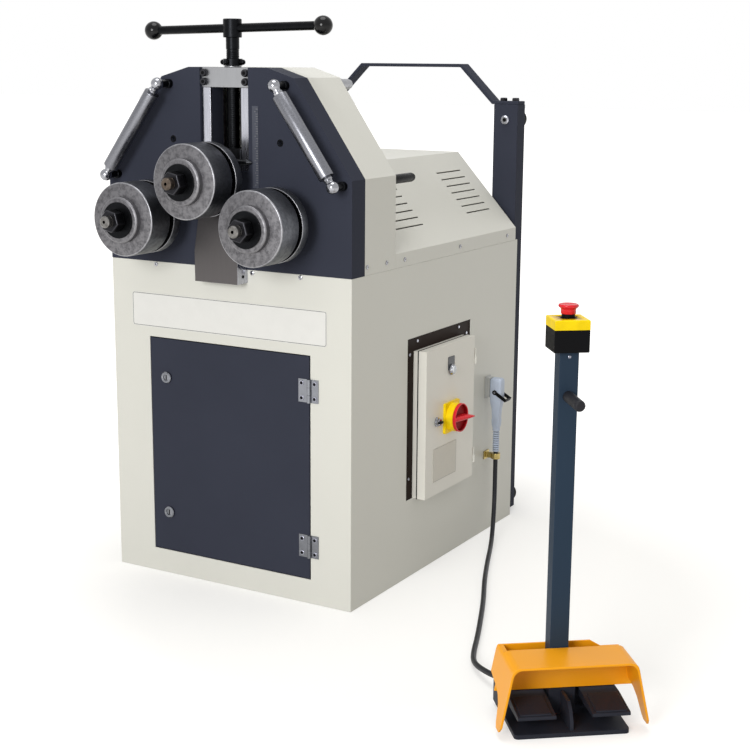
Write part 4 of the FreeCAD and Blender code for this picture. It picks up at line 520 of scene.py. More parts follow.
# %% A tree that turns a profile
CORE = 0.01
turning, given = new_tree("turn_profile", Segments="Int", Turn="Vector", Place="Vector", Finish="Material")
outline = add_node(turning, "GeometryNodeMeshToCurve", {"Mesh": given["Geometry"]})
way_round = add_node(turning, "GeometryNodeCurvePrimitiveCircle", {
    "Resolution": given["Segments"], "Radius": CORE})
skin = add_node(turning, "GeometryNodeCurveToMesh", {"Curve": way_round, "Profile Curve": outline})
closed = add_node(turning, "GeometryNodeMergeByDistance", {"Geometry": skin, "Distance": 0.000002})
point = add_node(turning, "GeometryNodeInputPosition")
flat_point = add_node(turning, "ShaderNodeVectorMath", {0: point, 1: (1.0, 1.0, 0.0)}, operation="MULTIPLY")
distance = add_node(turning, "ShaderNodeVectorMath", {0: flat_point}, operation="LENGTH")
marked = add_node(turning, "GeometryNodeStoreNamedAttribute", {
    "Geometry": closed, "Name": "turn_radius", "Value": distance.outputs["Value"]})
placed = add_node(turning, "GeometryNodeTransform", {
    "Geometry": marked, "Rotation": given["Turn"], "Translation": given["Place"]})
end_tree(turning, placed, given["Finish"])
FORWARD, BACK, UP, OUT = (0, -1, 0), (0, 1, 0), (0, 0, 1), (1, 0, 0)


def turned(name, profile, start, axis, finish, segments=96, sharp=30, rule=None):
    """Turns (radius, along) points in mm about an axis through start. A closed profile ends as it starts."""
    loop = profile[0] == profile[-1]
    points = profile[:-1] if loop else profile
    line = bpy.data.meshes.new(name)
    edges = [(i, i + 1) for i in range(len(points) - 1)] + ([(len(points) - 1, 0)] if loop else [])
    line.from_pydata([(radius * MM - CORE, -along * MM, 0) for radius, along in points], edges, [])
    turn = Vector((0, 0, 1)).rotation_difference(Vector(axis)).to_euler()
    finishes = finish if rule else [finish]
    piece = run_tree(turning, name, line, Segments=segments, Turn=tuple(turn), Finish=finishes[0],
                     Place=tuple(Vector(start) * MM))
    shape = bmesh.new()
    shape.from_mesh(piece.data)
    bmesh.ops.recalc_face_normals(shape, faces=shape.faces)
    shape.to_mesh(piece.data)
    shape.free()
    piece.data.shade_smooth()
    piece.data.set_sharp_from_angle(angle=math.radians(sharp))
    paint(piece, finishes, rule)
    return piece


def joined(name, parts):
    """Several pieces as one, with their materials and attributes."""
    shape = bmesh.new()
    materials = []
    for part in parts:
        shift, before = len(materials), len(shape.faces)
        materials += list(part.data.materials)
        shape.from_mesh(part.data)
        shape.faces.ensure_lookup_table()
        for face in shape.faces[before:]:
            face.material_index += shift
    for part in parts:
        bpy.data.objects.remove(part)
    whole = piece_of(shape, name)
    for material in materials:
        whole.data.materials.append(material)
    return whole

# %% [markdown]
# ## Machined finish of the rolls
# The roll faces are turned and then dulled by use: fine rings about the axis under a mottled grey bloom. The
# rings read the stored distance from the axis, so they run round every roll. The real ones are 0.2 mm apart
# and are drawn at 1.5 mm. The broken edges get a lighter copy of the steel, a painted highlight, and the
# running faces a slightly darker one with a soft sheen, a painted dark reflection. The groove between the
# rings is nearly black: painted shade.

# %% Machined finishes
def turned_steel(name, hex_code, stain_code, roughness, ring_mm, mottle=0.5):
    material, shader = new_finish(name, hex_code, roughness, metallic=1.0)
    tree = shader.id_data
    radius = add_node(tree, "ShaderNodeAttribute", attribute_name="turn_radius")
    rings = add_node(tree, "ShaderNodeTexNoise", {
        "W": radius.outputs["Fac"], "Scale": 1 / (ring_mm * MM), "Detail": 2.0}, noise_dimensions="1D")
    bloom = feed(noise(tree, 110.0, 7.0), {"Roughness": 0.7})
    stained = add_node(tree, "ShaderNodeMapRange", {
        "Value": bloom, "From Min": 0.42, "From Max": 0.62, "To Max": mottle})
    tone = add_node(tree, "ShaderNodeMix", {0: stained, 6: linear(hex_code), 7: linear(stain_code)},
                    data_type="RGBA")
    roughen(shader, rings, 0.12, bloom, roughness - 0.08, roughness + 0.1)
    feed(shader, {"Base Color": tone.outputs[2]})
    return material

# Copies of one turned steel, lit and shaded: edges lighter as a painted highlight, running faces darker as a
# painted dark reflection, the groove nearly black as painted shade.
roll_face = turned_steel("turned_steel_face", "#737275", "#3E3D40", 0.42, 1.5, mottle=0.65)
roll_edge_highlight = turned_steel("turned_steel_edge_painted_highlight", "#98989C", "#66666A", 0.36, 1.5)
collar_edge = turned_steel("turned_collar_painted_highlight", "#807F82", "#5A595C", 0.46, 1.5)
roll_side = turned_steel("running_face_painted_dark_reflection", "#66686D", "#3C3D42", 0.4, 3.0)
shaded_groove = turned_steel("painted_groove_shade", "#0E0E10", "#080809", 0.55, 3.0)
shaft_end = turned_steel("turned_shaft_end", "#7F7D7B", "#3C3935", 0.28, 1.0)
stained_end = turned_steel("stained_shaft_end", "#645A51", "#2C2520", 0.34, 1.0)
print("seven roll finishes")

# %% [markdown]
# ## The three roll sets
# Each set is two hardened rings with a spacer between them on one shaft, clamped by a collar, a washer and a
# nut. All three are alike, so one list of profiles is turned three times. The profiles are in radius and
# distance back from the rings' front face, and those with a bore are closed.

# %% Roll sets
ROLL_FACE_Y = -542.0
BORE = 17.52
FRONT_RING = [(BORE, 0), (74.6, 0), (75.8, 0.4), (76.7, 1.3), (77, 2.4), (77, 59.6), (76.4, 60.6), (75.4, 61),
              (BORE, 61), (BORE, 0)]
SPACER = [(BORE, 61), (66, 61), (66, 74), (BORE, 74), (BORE, 61)]
REAR_RING = [(BORE, 74), (76.0, 74), (76.7, 74.3), (77, 75.0), (77, 94.8), (76.2, 96), (BORE, 96), (BORE, 74)]
BACK_SPACER = [(BORE, 96), (27, 96), (27, 139), (BORE, 139), (BORE, 96)]
COLLAR = [(BORE, -14), (43.6, -14), (44.4, -13.8), (47.4, -12), (48, -11), (48, 0), (BORE, 0), (BORE, -14)]
WASHER = [(BORE, -18), (36.8, -18), (37.5, -17.3), (37.5, -14), (BORE, -14), (BORE, -18)]
SHAFT_NOSE = [(0, -52), (2.8, -52), (3.4, -59), (9.8, -59), (12.3, -56.6), (12.3, -45.2), (12.45, -45),
              (12.45, -18), (17.5, -18), (17.5, 139), (0, 139)]
NUT_RADIUS, NUT_ENDS, NUT_TURN = 24.2, (-43.95, -18.05), 47
WORN_FACE = 60e-6
RING_FINISHES = [roll_face, roll_edge_highlight, roll_side, shaded_groove]
CENTRE_HOLE_SHADE_RADIUS, HOLE_SHADE_FOOT_Y = 3.35, -580


def by_facing(middle, normal):
    """0 on a ring's ends, 1 on its broken edges as a painted highlight, 2 on its running face as a painted
    dark reflection, 3 in the groove between the rings as painted shade.
    """
    if ROLL_FACE_Y + 60.7 < middle.y < ROLL_FACE_Y + 74.1:
        return 3
    return 0 if abs(normal.y) > 0.95 else (2 if abs(normal.y) < 0.1 else 1)


for name, x, z, end_finish in (("left", -160.0, 817.0, shaft_end), ("upper", 0.0, 902.0, stained_end),
                               ("right", 160.0, 817.0, shaft_end)):
    start, body = (x, ROLL_FACE_Y, z), name + "_roll"
    rings = [turned("ring", profile, start, BACK, RING_FINISHES, 128, rule=by_facing)
             for profile in (FRONT_RING, SPACER, REAR_RING, BACK_SPACER)]
    give(joined(body + "_set", rings), "machined_steel", body + "_rings")
    # The collar's chamfer and rim get a lighter copy of the steel: a painted highlight.
    collar = turned("collar", COLLAR, start, BACK, [roll_face, collar_edge, collar_edge], rule=by_facing)
    washer = turned("washer", WASHER, start, BACK, black_oxide)
    corners = [math.radians(NUT_TURN + 60 * i) for i in range(6)]
    nut = loft("nut", [[(x + NUT_RADIUS * math.cos(a), ROLL_FACE_Y + end, z + NUT_RADIUS * math.sin(a))
                        for a in corners] for end in NUT_ENDS])
    soften(nut, 2.2, 3)
    paint(nut, [worn_oxide, edge_oxide])
    for face in nut.data.polygons:
        face.material_index = 1 if face.area < WORN_FACE else 0
    give(joined(body + "_clamp", [collar, washer, nut]), "black_steel", body + "_nut")
    # The centre hole in each shaft's nose is painted black oxide: painted shade inside the hole.
    give(turned(body + "_axle", SHAFT_NOSE, start, BACK, [end_finish, black_oxide], 64,
                rule=lambda middle, normal: (middle.xz - Vector((x, z))).length < CENTRE_HOLE_SHADE_RADIUS
                and middle.y < HOLE_SHADE_FOOT_Y), "machined_steel", body + "_shaft")

# %% [markdown]
# ## Slanting bars
# Two bright tubes hang on ball joints in front of the plate. A ball and its neck share one axis with the
# tube. The studs that carry the balls go back through the head and end in a sleeve or a grip.

# %% Slanting bars, studs, sleeves and grips
BAR_ENDS = (((-140.0, 1093.0), (-285.0, 898.0)), ((153.0, 1093.0), (290.0, 898.0)))
BAR_Y, BEHIND_Y = -442.0, -221.0
STUD = [(0, 4), (8, 4), (8, 30), (9.5, 31), (9.5, 41.9), (0, 41.9)]
SLEEVE = [(0, 0), (13, 0), (13, 30), (11.5, 31), (11.5, 60), (10, 68), (0, 68)]
GRIP = [(0, 0), (10, 0), (10, 6), (9.2, 7), (9.2, 10), (10, 11), (10, 100), (8.5, 106), (5, 108), (0, 108)]


def ball_profile(radius, to_angle, steps=10):
    """Points on a ball about the axis's start, up to an angle in degrees."""
    span = [math.radians(to_angle * i / steps) for i in range(steps + 1)]
    return [(radius * math.sin(a), -radius * math.cos(a)) for a in span]

BALL_AND_NECK = ball_profile(13, 137) + [(8.2, 11), (8.2, 15), (10, 16.2), (10, 21), (9, 22.9), (0, 22.9)]
ball_joints, tubes = [], []
for (top_x, top_z), (low_x, low_z) in BAR_ENDS:
    top, low = Vector((top_x, BAR_Y, top_z)), Vector((low_x, BAR_Y, low_z))
    along, length = (low - top).normalized(), (low - top).length
    for end, direction in ((top, along), (low, -along)):
        ball_joints.append(turned("ball", BALL_AND_NECK, end, direction, chrome, 32))
        ball_joints.append(turned("stud", STUD, end, BACK, black_oxide, 32))
    half = [(0, 23), (14.8, 23), (15.7, 23.3), (16, 24.2)]
    tube = half + [(radius, length - place) for radius, place in half[::-1]]
    tubes.append(turned("tube", tube, top, along, satin_tube, 48))
    ball_joints.append(turned("sleeve", SLEEVE, (top_x, BEHIND_Y, top_z), BACK, ground_steel, 32))
    ball_joints.append(turned("grip", GRIP, (low_x, BEHIND_Y, low_z), BACK, vinyl, 32))
give(joined("bar_ball_joints", ball_joints), "chrome", "bar_pins")
give(joined("slanting_bar_tubes", tubes), "bright_steel", "slanting_bars")

# %% [markdown]
# ## Hand screw
# The T-handle is a loose bar with two black balls through a round hub. The screw below it has a 4 mm lead,
# which is also the carriage's travel for one turn. Its thread is a small ridge that follows a spiral round a
# core.

# %% T-handle
SCREW_Y, HUB_Z = -366.0, 1207.0
HUB = [(0, -19), (18.5, -19), (19.5, -18), (19.5, 17.5), (18, 19), (0, 19)]
hub = turned("hub", HUB, (0, SCREW_Y, HUB_Z), UP, black_oxide, 48)
left_ball, right_ball = Vector((-205, SCREW_Y, 1202.67)), Vector((221, SCREW_Y, 1211.67))
reach = (right_ball - left_ball).length
end_ball = ball_profile(19.5, 152.5) + [(9, 17.3)]
bar = turned("bar", end_ball + [(radius, reach - place) for radius, place in end_ball[::-1]], left_ball,
             right_ball - left_ball, [black_gloss, black_oxide], 48,
             rule=lambda middle, normal: -187.2 < middle.x < 203.2 and abs(normal.x) < 0.2)
give(joined("t_handle_bar_and_hub", [hub, bar]), "black_steel", "t_handle")

# %% Feed screw
SCREW_FOOT, SCREW_TOP, LEAD, TURNS = 937.5, 1188.0, 4.0, 55.0
THREAD_RADIUS, RIDGE = 12.8 * MM, 1.1 * MM
winding, given = new_tree("wind_thread")
path = add_node(winding, "GeometryNodeCurveSpiral", {
    "Resolution": 24, "Rotations": TURNS, "Start Radius": THREAD_RADIUS, "End Radius": THREAD_RADIUS,
    "Height": TURNS * LEAD * MM})
ridge = add_node(winding, "GeometryNodeCurvePrimitiveCircle", {"Resolution": 4, "Radius": RIDGE})
wound = add_node(winding, "GeometryNodeCurveToMesh", {
    "Curve": path, "Profile Curve": ridge, "Fill Caps": True})
lifted = add_node(winding, "GeometryNodeTransform", {
    "Geometry": wound, "Translation": (0.0, SCREW_Y * MM, (SCREW_FOOT + LEAD) * MM)})
both = add_node(winding, "GeometryNodeJoinGeometry", {"Geometry": [lifted, given["Geometry"]]})
end_tree(winding, both, black_oxide)
core = turned("core", [(0, SCREW_FOOT), (13.0, SCREW_FOOT), (13.0, 1164), (14, 1165), (14, SCREW_TOP),
                       (0, SCREW_TOP)], (0, SCREW_Y, 0), UP, black_oxide, 48)
screw = run_tree(winding, "feed_screw_thread", taken(core))
give(screw, "black_steel", "feed_screw")

# %% [markdown]
# ## Screws, bolts and rivets
# Screws repeat, so their places are a mesh of loose vertices, and one tree puts a head on each, turned to
# the side that it is driven from: a low cylinder with a broken edge. The recess is not cut: a thin disc on
# top stands for it, mostly dark, as painted shade.

# %% A tree that sets screw heads
setting, given = new_tree(
    "set_heads", Radius="Float", Height="Float", Top="Float", Recess="Float", Sides="Int", RecessSides="Int",
    Facing="Vector", Finish="Material", RecessFinish="Material")


def head_part(sides, bottom, top, depth, lift):
    """One cone of a head, lifted to its place."""
    cone = add_node(setting, "GeometryNodeMeshCone", {
        "Vertices": sides, "Radius Bottom": bottom, "Radius Top": top, "Depth": depth})
    up = add_node(setting, "ShaderNodeCombineXYZ", {"Z": lift})
    return add_node(setting, "GeometryNodeTransform", {"Geometry": cone, "Translation": up})

low_part, top_part = [add_node(setting, "ShaderNodeMath", {0: given["Height"], 1: share},
                               operation="MULTIPLY") for share in (0.65, 0.35)]
wall = head_part(given["Sides"], given["Radius"], given["Radius"], low_part, 0.0)
crown = head_part(given["Sides"], given["Radius"], given["Top"], top_part, low_part)
# The recess is a thin disc on top, dark in most heads: painted shade.
hole = head_part(given["RecessSides"], given["Recess"], given["Recess"], 0.0002, given["Height"])
head = add_node(setting, "GeometryNodeJoinGeometry", {"Geometry": [wall, crown]})
finished = [add_node(setting, "GeometryNodeSetMaterial", {"Geometry": shape, "Material": given[finish]})
            for shape, finish in ((head, "Finish"), (hole, "RecessFinish"))]
whole = add_node(setting, "GeometryNodeJoinGeometry", {"Geometry": finished})
towards = add_node(setting, "FunctionNodeAlignRotationToVector", {"Vector": given["Facing"]}, axis="Z")
end_tree(setting, add_node(setting, "GeometryNodeInstanceOnPoints", {
    "Points": given["Geometry"], "Instance": whole, "Rotation": towards}))


def heads(name, places, facing, radius, height, finish, top=0.75, recess=0.45, sides=20, recess_sides=6,
          recess_shade_finish=black_plastic):
    """Screw heads at places in mm. top and recess are shares of the radius."""
    points = bpy.data.meshes.new(name)
    points.from_pydata([Vector(place) * MM for place in places], [], [])
    return run_tree(setting, name, points, Radius=radius * MM, Height=height * MM, Top=radius * top * MM,
                    Recess=radius * recess * MM, Sides=sides, RecessSides=recess_sides, Facing=tuple(facing),
                    Finish=finish, RecessFinish=recess_shade_finish)

# %% Panel screws and rivets
SIDE_X, RIVET_X = 310.0, 307
SIDE_PLACES = [(y, 727.5) for y in (-179.5, 83.75, 338)] + [(y, 729.5) for y in (-339, -258)]
RIVET_PLACES = ((-112, 539), (90, 539), (-146, 513), (-146, 230), (130, 519), (130, 230))
screw_groups = [heads("front_screws", [(x, FRONT_Y, 706) for x in (-187, -67, 67, 187)], FORWARD, 4.8, 2.4,
                      chrome, top=0.55, recess=0.3)]
for side in (-1, 1):
    places = [(side * SIDE_X, y, z) for y, z in SIDE_PLACES]
    screw_groups.append(heads("side_screws", places, (side, 0, 0), 4.6, 2.4, chrome, top=0.55, recess=0.3))
screw_groups.append(heads("rivets", [(RIVET_X, y, z) for y, z in RIVET_PLACES], OUT, 3.5, 2, strip_steel_and_painted_reflection,
                          recess=0.2, recess_sides=12, recess_shade_finish=strip_steel_and_painted_reflection))
give(joined("panel_screw_heads", screw_groups), "chrome", "panel_screws")

# %% Bolts on the bridge and the columns
COLUMN_X, BRIDGE_Y = 269, -394.0
bridge_places = [(x, BRIDGE_Y, z) for x in (-52, 52) for z in (1098.5, 1116.5)]
column_places = [(side * COLUMN_X, BACK_Y, 1003) for side in (-1, 1)]
strap_places = [(side * COLUMN_X + dx, 422, 1048) for side in (-1, 1) for dx in (-16, 16)]
give(joined("bolt_heads", [
    heads("bridge_bolts", bridge_places, FORWARD, 8, 8, edge_oxide, top=0.86, recess=0.52, sides=32),
    heads("column_screws", column_places, FORWARD, 10.5, 7, strip_steel_and_painted_reflection, top=0.72, recess=0.5, sides=32),
    heads("strap_bolts", strap_places, UP, 9.6, 7.6, edge_oxide, top=0.86, recess=0.3, sides=6,
          recess_sides=12, recess_shade_finish=black_oxide),
]), "black_steel", "bolts")

# %% Hinge screws, guard screws and plate holes
for name, x, body in (("frame", 222, "root"), ("door", 190, "cabinet_door")):
    places = [(x, FRONT_Y - 2, z + dz) for z in HINGE_Z for dz in (-16, 16)]
    give(heads("hinge_screws_" + name, places, FORWARD, 5.4, 1.4, zinc, top=0.86, recess=0.66,
               recess_sides=16, recess_shade_finish=black_oxide), "bright_steel", body=body)
give(heads("guard_screws", [(55, -417, z) for z in (699, 733)], OUT, 3.6, 1.4, black_oxide), "black_steel",
     body="root")
HOLE_RIM = [(5.0, 0), (7.6, 0), (7.0, 0.6), (5.0, 0.6), (5.0, 0)]
rims = [turned("rim", HOLE_RIM, (x, FRONT_Y, 978), FORWARD, black_oxide, 32) for x in (-133, 139)]
give(joined("plate_hole_rims", rims), "black_steel", body="root")

# %% [markdown]
# ## Locks of the cabinet's door
# Each lock is a chromed barrel with its cam. A turned face with a raised rim goes on it and turns with it.
# The key slot is not cut: a thin black block stands for it, as painted shade.

# %% Lock faces
LOCK_X, LOCK_Y = -164, -404.0
LOCK_RIM = [(0, 0.1), (6.0, 0.1), (6.8, 1.8), (9.4, 2.8), (11.6, 2.4), (13.0, 0.8), (13.0, 0.0), (0, 0)]
for name, z in (("lower", 146.0), ("upper", 456.0)):
    face = turned("lock_rim", LOCK_RIM, (LOCK_X, LOCK_Y, z), FORWARD, dark_chrome, 40)
    # A thin black block where the key slot is: painted shade.
    key_slot_shade = block("lock_key_slot_shade", (LOCK_X, LOCK_Y - 0.3, z), (2.6, 0.8, 11.0))
    soften(key_slot_shade, 0.2, finish=black_oxide)
    give(joined(name + "_lock_face", [face, key_slot_shade]), "chrome", body=name + "_door_lock")

# %% [markdown]
# ## Plates
# The name plate, the scale strip and the rating plate are thin printed sheets, kept blank but for a line
# near the edge and a plain tick every 5 mm on the strip. Ticks repeat along a line, and so do the ribs of
# the plug's sleeve further on, so one tree repeats any small shape upward.

# %% Name plate and rating plate
QUARTER = math.radians(90)
TO_FRONT = Matrix.Rotation(QUARTER, 4, "X")
TO_SIDE = Matrix.Rotation(QUARTER, 4, "Z") @ TO_FRONT
LINE_INSET = 1.2


def sheet_label(name, width, height, corner, border, thickness, face_finish, line_finish, place, facing):
    """A sheet with rounded corners and a printed line near its edge, its middle at place."""
    levels = ((0.0, 0.0), (0.0, thickness), (LINE_INSET, thickness), (LINE_INSET + border, thickness))
    outlines = [(soft_square(width / 2 - inset, height / 2 - inset, max(corner - inset, 0.3), 6), z)
                for inset, z in levels]
    sheet = loft(name, [[(x, y, z) for x, y in outline] for outline, z in outlines])
    sheet.data.transform(Matrix.Translation(Vector(place) * MM) @ facing)
    paint(sheet, [face_finish, line_finish])
    count = len(outlines[0][0])
    for face in sheet.data.polygons[2 * count:3 * count]:
        face.material_index = 1
    return sheet

give(sheet_label("name_plate", 506, 75, 6, 1.0, 1.0, label_white, label_dark, (-2, FRONT_Y, 603.5), TO_FRONT),
     "label_plate", "plates")
DOOR_X, BOX_Y, SWITCH_Z, LAMP_Z = 340, -10, 351, 460
give(sheet_label("rating_plate", 114, 78, 2, 0.6, 0.8, label_cream, label_grey, (DOOR_X, -35, 251), TO_SIDE),
     "label_plate", "electric_door")

# %% Scale strip with ticks
repeating, given = new_tree("repeat_upward", Count="Int", Pitch="Float", Start="Vector", Finish="Material")
step = add_node(repeating, "ShaderNodeCombineXYZ", {"Z": given["Pitch"]})
line = add_node(repeating, "GeometryNodeMeshLine", {
    "Count": given["Count"], "Start Location": given["Start"], "Offset": step})
end_tree(repeating, add_node(repeating, "GeometryNodeInstanceOnPoints", {
    "Points": line, "Instance": given["Geometry"]}), given["Finish"])


def repeated(piece, count, pitch, start, finish):
    """A piece and its copies, pitch mm apart, going up from start."""
    return run_tree(repeating, piece.name, taken(piece), Count=count, Pitch=pitch * MM,
                    Start=tuple(Vector(start) * MM), Finish=finish)

strip = sheet_label("strip", 15, 167, 1, 0.4, 1.0, strip_grey, strip_grey, (78.5, FRONT_Y, 967.5), TO_FRONT)
marks = [repeated(block("mark", (0, 0, 0), (width, 0.1, 0.6)), count, pitch, (x, FRONT_Y - 1.02, 890),
                  label_grey) for x, width, pitch, count in ((82.5, 5.0, 5.0, 32), (81.0, 8.0, 25.0, 7))]
give(joined("scale_strip_with_ticks", [strip] + marks), "label_plate", "plates")

# %% [markdown]
# ## Controls on the electric box
# From the top: a lamp with a chromed bezel on a dark legend plate, a red rotary switch on a yellow base, and
# a latch. The switch's knob has a fin that is wide at the disc and narrow at its tip.

# %% Lamp
BEZEL = [(0, 1.5), (12.5, 1.5), (12.5, 4), (11.5, 5.5), (10.6, 8), (9.4, 8), (9.0, 6.5), (0, 6.5)]
LENS = [(0, 6.0), (8.8, 6.0), (8.8, 8.5), (7.6, 10.6), (4.4, 11.8), (0, 12)]
give(joined("signal_lamp_and_legend", [
    turned("bezel", BEZEL, (DOOR_X, BOX_Y, LAMP_Z), OUT, chrome, 40),
    turned("lens", LENS, (DOOR_X, BOX_Y, LAMP_Z), OUT, lens, 40),
    sheet_label("legend", 30, 30, 2, 0.4, 1.5, label_dark, label_dark, (DOOR_X, BOX_Y, LAMP_Z + 15), TO_SIDE),
]), "label_plate", "signal_lamp")

# %% Rotary switch
SWITCH = (DOOR_X, BOX_Y, SWITCH_Z)
BASE = [(0, 6), (33, 6), (33, 20.6), (32.2, 21.8), (31, 22), (0, 22)]
CUP = [(0, 22.3), (32, 22.3), (33, 23.2), (33, 29.2), (32.4, 30.2), (31, 30.2), (30.2, 29.2), (29.6, 23.8),
       (0, 23.8)]
BLADE = ((-31, 8, 6.5), (-24, 10, 6.8), (0, 17, 6.6), (18, 23, 5.6), (27, 25.5, 3.4), (31, 25.5, 2.0))
give(joined("switch_base_yellow", [
    sheet_label("switch_plate", 70, 70, 3, 0.5, 6, yellow_plastic, yellow_plastic, SWITCH, TO_SIDE),
    turned("base_collar", BASE, SWITCH, OUT, yellow_plastic, 64),
]), "yellow_plastic", "switch_base")
# The cup's floor, inside its rim, is the darker red: painted shade in the recess.
cup = turned("cup", CUP, SWITCH, OUT, [red_plastic, cup_floor_shade], 64,
             rule=lambda middle, normal: middle.x < 368 and (middle.yz - Vector(SWITCH[1:])).length < 30.1)


def grip_blade(name, stations, middle_y, base_x, finish):
    """A blade across the switch: (place along y, height outward, half thickness) at each station, in mm."""
    rows = [[(base_x + height * share, middle_y + along, SWITCH_Z + half * side)
             for share, side in ((0, -1), (0, 1), (0.75, 0.8), (1, 0.3), (1, -0.3), (0.75, -0.8))]
            for along, height, half in stations]
    blade = loft(name, rows)
    soften(blade, 0.8, finish=finish)
    return blade

blade = grip_blade("blade", BLADE, BOX_Y, DOOR_X + 23, red_plastic)
give(joined("switch_knob_red", [cup, blade]), "red_plastic", "switch_knob")

# %% Latch
LATCH_Y = -76
BARREL = [(0, -12), (9, -12), (9, 0.2), (11, 0.2), (11, 2.2), (10, 3.4), (8.6, 3.8), (8.6, 8), (7.4, 9.6),
          (0, 9.6)]
WING = ((-9.5, 5, 2.0), (-6, 7.5, 3.2), (0, 8.5, 3.6), (6, 7.5, 3.2), (9.5, 5, 2.0))
barrel = turned("barrel", BARREL, (DOOR_X, LATCH_Y, SWITCH_Z), OUT, chrome, 40)
wing = grip_blade("wing", WING, LATCH_Y, DOOR_X + 7.5, black_oxide)
cam = block("cam", (DOOR_X - 13, LATCH_Y, SWITCH_Z + 8), (2, 12, 32))
soften(cam, 0.5, finish=zinc)
give(joined("box_latch_chromed", [barrel, wing, cam]), "chrome", "box_latch")

# %% [markdown]
# ## Connector
# The foot cable ends in a grey-blue plug with a black locking lever and a ribbed sleeve, and a brass clip
# below holds the cable. The plug's body is a skin over soft squares, each with its height, its half width
# along y and its half depth along x. The ribs are one turned ring, repeated along the sleeve.

# %% Plug, sleeve ribs, socket, clip and lever
PLUG_X, PLUG_Y, LEVER_X, LEVER_Z = 337, 246, 336.6, 358
PLUG_STATIONS = ((270, 8.4, 8.4), (275, 9.4, 9.6), (288, 9.8, 10.6), (291, 9.0, 9.8), (316, 9.6, 11.0),
                 (330, 11.4, 14.0), (340, 12, 15), (384, 12, 15), (389, 11.2, 14.2), (392, 8.6, 11.4))
PIN = [(0, 0), (2.5, 0), (2.5, 4.2), (0, 4.2)]
EYE = [(2.7, 0), (5.4, 0), (5.9, 0.6), (5.9, 3.0), (5.4, 3.6), (2.7, 3.6), (2.7, 0)]
SLEEVE_CORE = [(0, 208), (6.0, 208), (6.6, 259), (9.2, 262), (9.2, 270), (0, 270)]
RIB_PATH, RIB = 6.6, 1.9


def on_both_sides(name, profile, from_middle, finish, segments):
    """The same turned shape on the left and the right of the plug."""
    return [turned(name, profile, (LEVER_X, PLUG_Y + side * from_middle, LEVER_Z), (0, side, 0), finish,
                   segments) for side in (-1, 1)]

plug_body = loft("connector_plug_body", [
    [(PLUG_X + x, PLUG_Y + y, z) for x, y in soft_square(half_x, half_y, 4.0)]
    for z, half_y, half_x in PLUG_STATIONS])
paint(plug_body, [grey_plastic])
plug_body.data.shade_smooth()
plug_body.data.set_sharp_from_angle(angle=math.radians(35))
give(joined("connector_plug_moulded", [plug_body] + on_both_sides("pin", PIN, 11.8, zinc, 20)),
     "grey_plastic", "connector_plug")
sleeve_core = turned("sleeve_core", SLEEVE_CORE, (PLUG_X, PLUG_Y, 0), UP, [grey_plastic, dark_grey_plastic],
                     28, rule=lambda middle, normal: middle.z < 259)
around = [math.radians(45 * i) for i in range(8)]
RIB_RING = [(RIB_PATH + RIB * math.cos(a), RIB * math.sin(a)) for a in around]
rib = turned("sleeve_ribs", RIB_RING + RIB_RING[:1], (0, 0, 0), UP, grey_plastic, 28, sharp=60)
sleeve_ribs = repeated(rib, 9, 5.6, (PLUG_X, PLUG_Y, 210.5), grey_plastic)
give(joined("cable_strain_relief", [sleeve_core, sleeve_ribs]), "grey_plastic", "connector_plug")
rounded("connector_fittings", "connector_socket_and_clip", 0.9, [socket_plastic, brass], "grey_plastic",
        rule=lambda middle, normal: middle.z < 212)
rounded("connector_lever", "connector_lever_bent", 0.6, [black_plastic], "black_plastic")
give(joined("connector_lever_eyes", on_both_sides("lever_eye", EYE, 12.4, black_gloss, 32)), "black_plastic",
     body="connector_lever")

# %% [markdown]
# ## Foot control
# Two black treads under an orange hood, with a dark column that carries the stop button at hand height. The
# hood is cast, so its edges are well rounded. The foot control stands at an angle to the cabinet, so its
# places are given in its own mm and turned.

# %% Pedals, column and stop button
CONTROL = Vector((940.0, -702.0, 0.0))
TURN = Matrix.Rotation(math.radians(38.0), 3, "Z")
BACKWARD = TURN @ Vector(BACK)


def on_control(x, y, z):
    """A place on the foot control, from its own x, y and z in mm."""
    return CONTROL + TURN @ Vector((x, y, z))


def tread_top(y):
    """Height of a tread's top face at y, in the foot control's own mm."""
    return 40.0 + 8.0 * min(y / 70.0, 1.0)


for side in ("left", "right"):
    rounded(side + "_pedal", side + "_pedal_tread", 1.6, [pedal_plastic], "black_plastic", 3)
PAD_Y, PAD_BELOW, PAD_ABOVE = (4.0, 66.0), -1.0, 2.6
for side, (x0, x1) in (("left", (-93.0, -37.0)), ("right", (42.0, 98.0))):
    y0, y1 = PAD_Y
    pad = loft(side + "_pedal_pad", [
        [on_control(x, y, tread_top(y) + height) for x, y in ((x0, y0), (x1, y0), (x1, y1), (x0, y1))]
        for height in (PAD_BELOW, PAD_ABOVE)])
    soften(pad, 2.4, 3, pedal_plastic)
    give(pad, "black_plastic", body=side + "_pedal")
rounded("pedal_column", "pedal_column_tube", 1.8, [blue_grey, post_grip], "dark_paint",
        rule=lambda middle, normal: (middle - CONTROL).dot(BACKWARD) < 86.6)
rounded("stop_box_cover", "stop_box_cover_moulded", 1.2, [yellow_plastic, black_plastic], "yellow_plastic", 3,
        lambda middle, normal: middle.z > 720.1)
MUSHROOM = [(0, 709), (11.5, 709), (11.5, 726.6), (12.6, 726.8), (13, 727.4), (13, 734), (13.8, 736.2),
            (16.6, 738.2), (17.4, 739.4), (17.4, 741.2), (16.4, 743), (15, 743.4), (12, 742.4), (0, 741.6)]
give(turned("stop_button_mushroom", MUSHROOM, on_control(-5.0, 104.0, 0.0), UP, [red_plastic, black_plastic],
            48, 50, lambda middle, normal: middle.z < 726.7), "red_plastic", "stop_button")
give(heads("column_set_screw", [on_control(-5.0, 87.0, 655.0)], -BACKWARD, 2.6, 1.2, zinc, recess=0.4),
     "chrome", body="root")

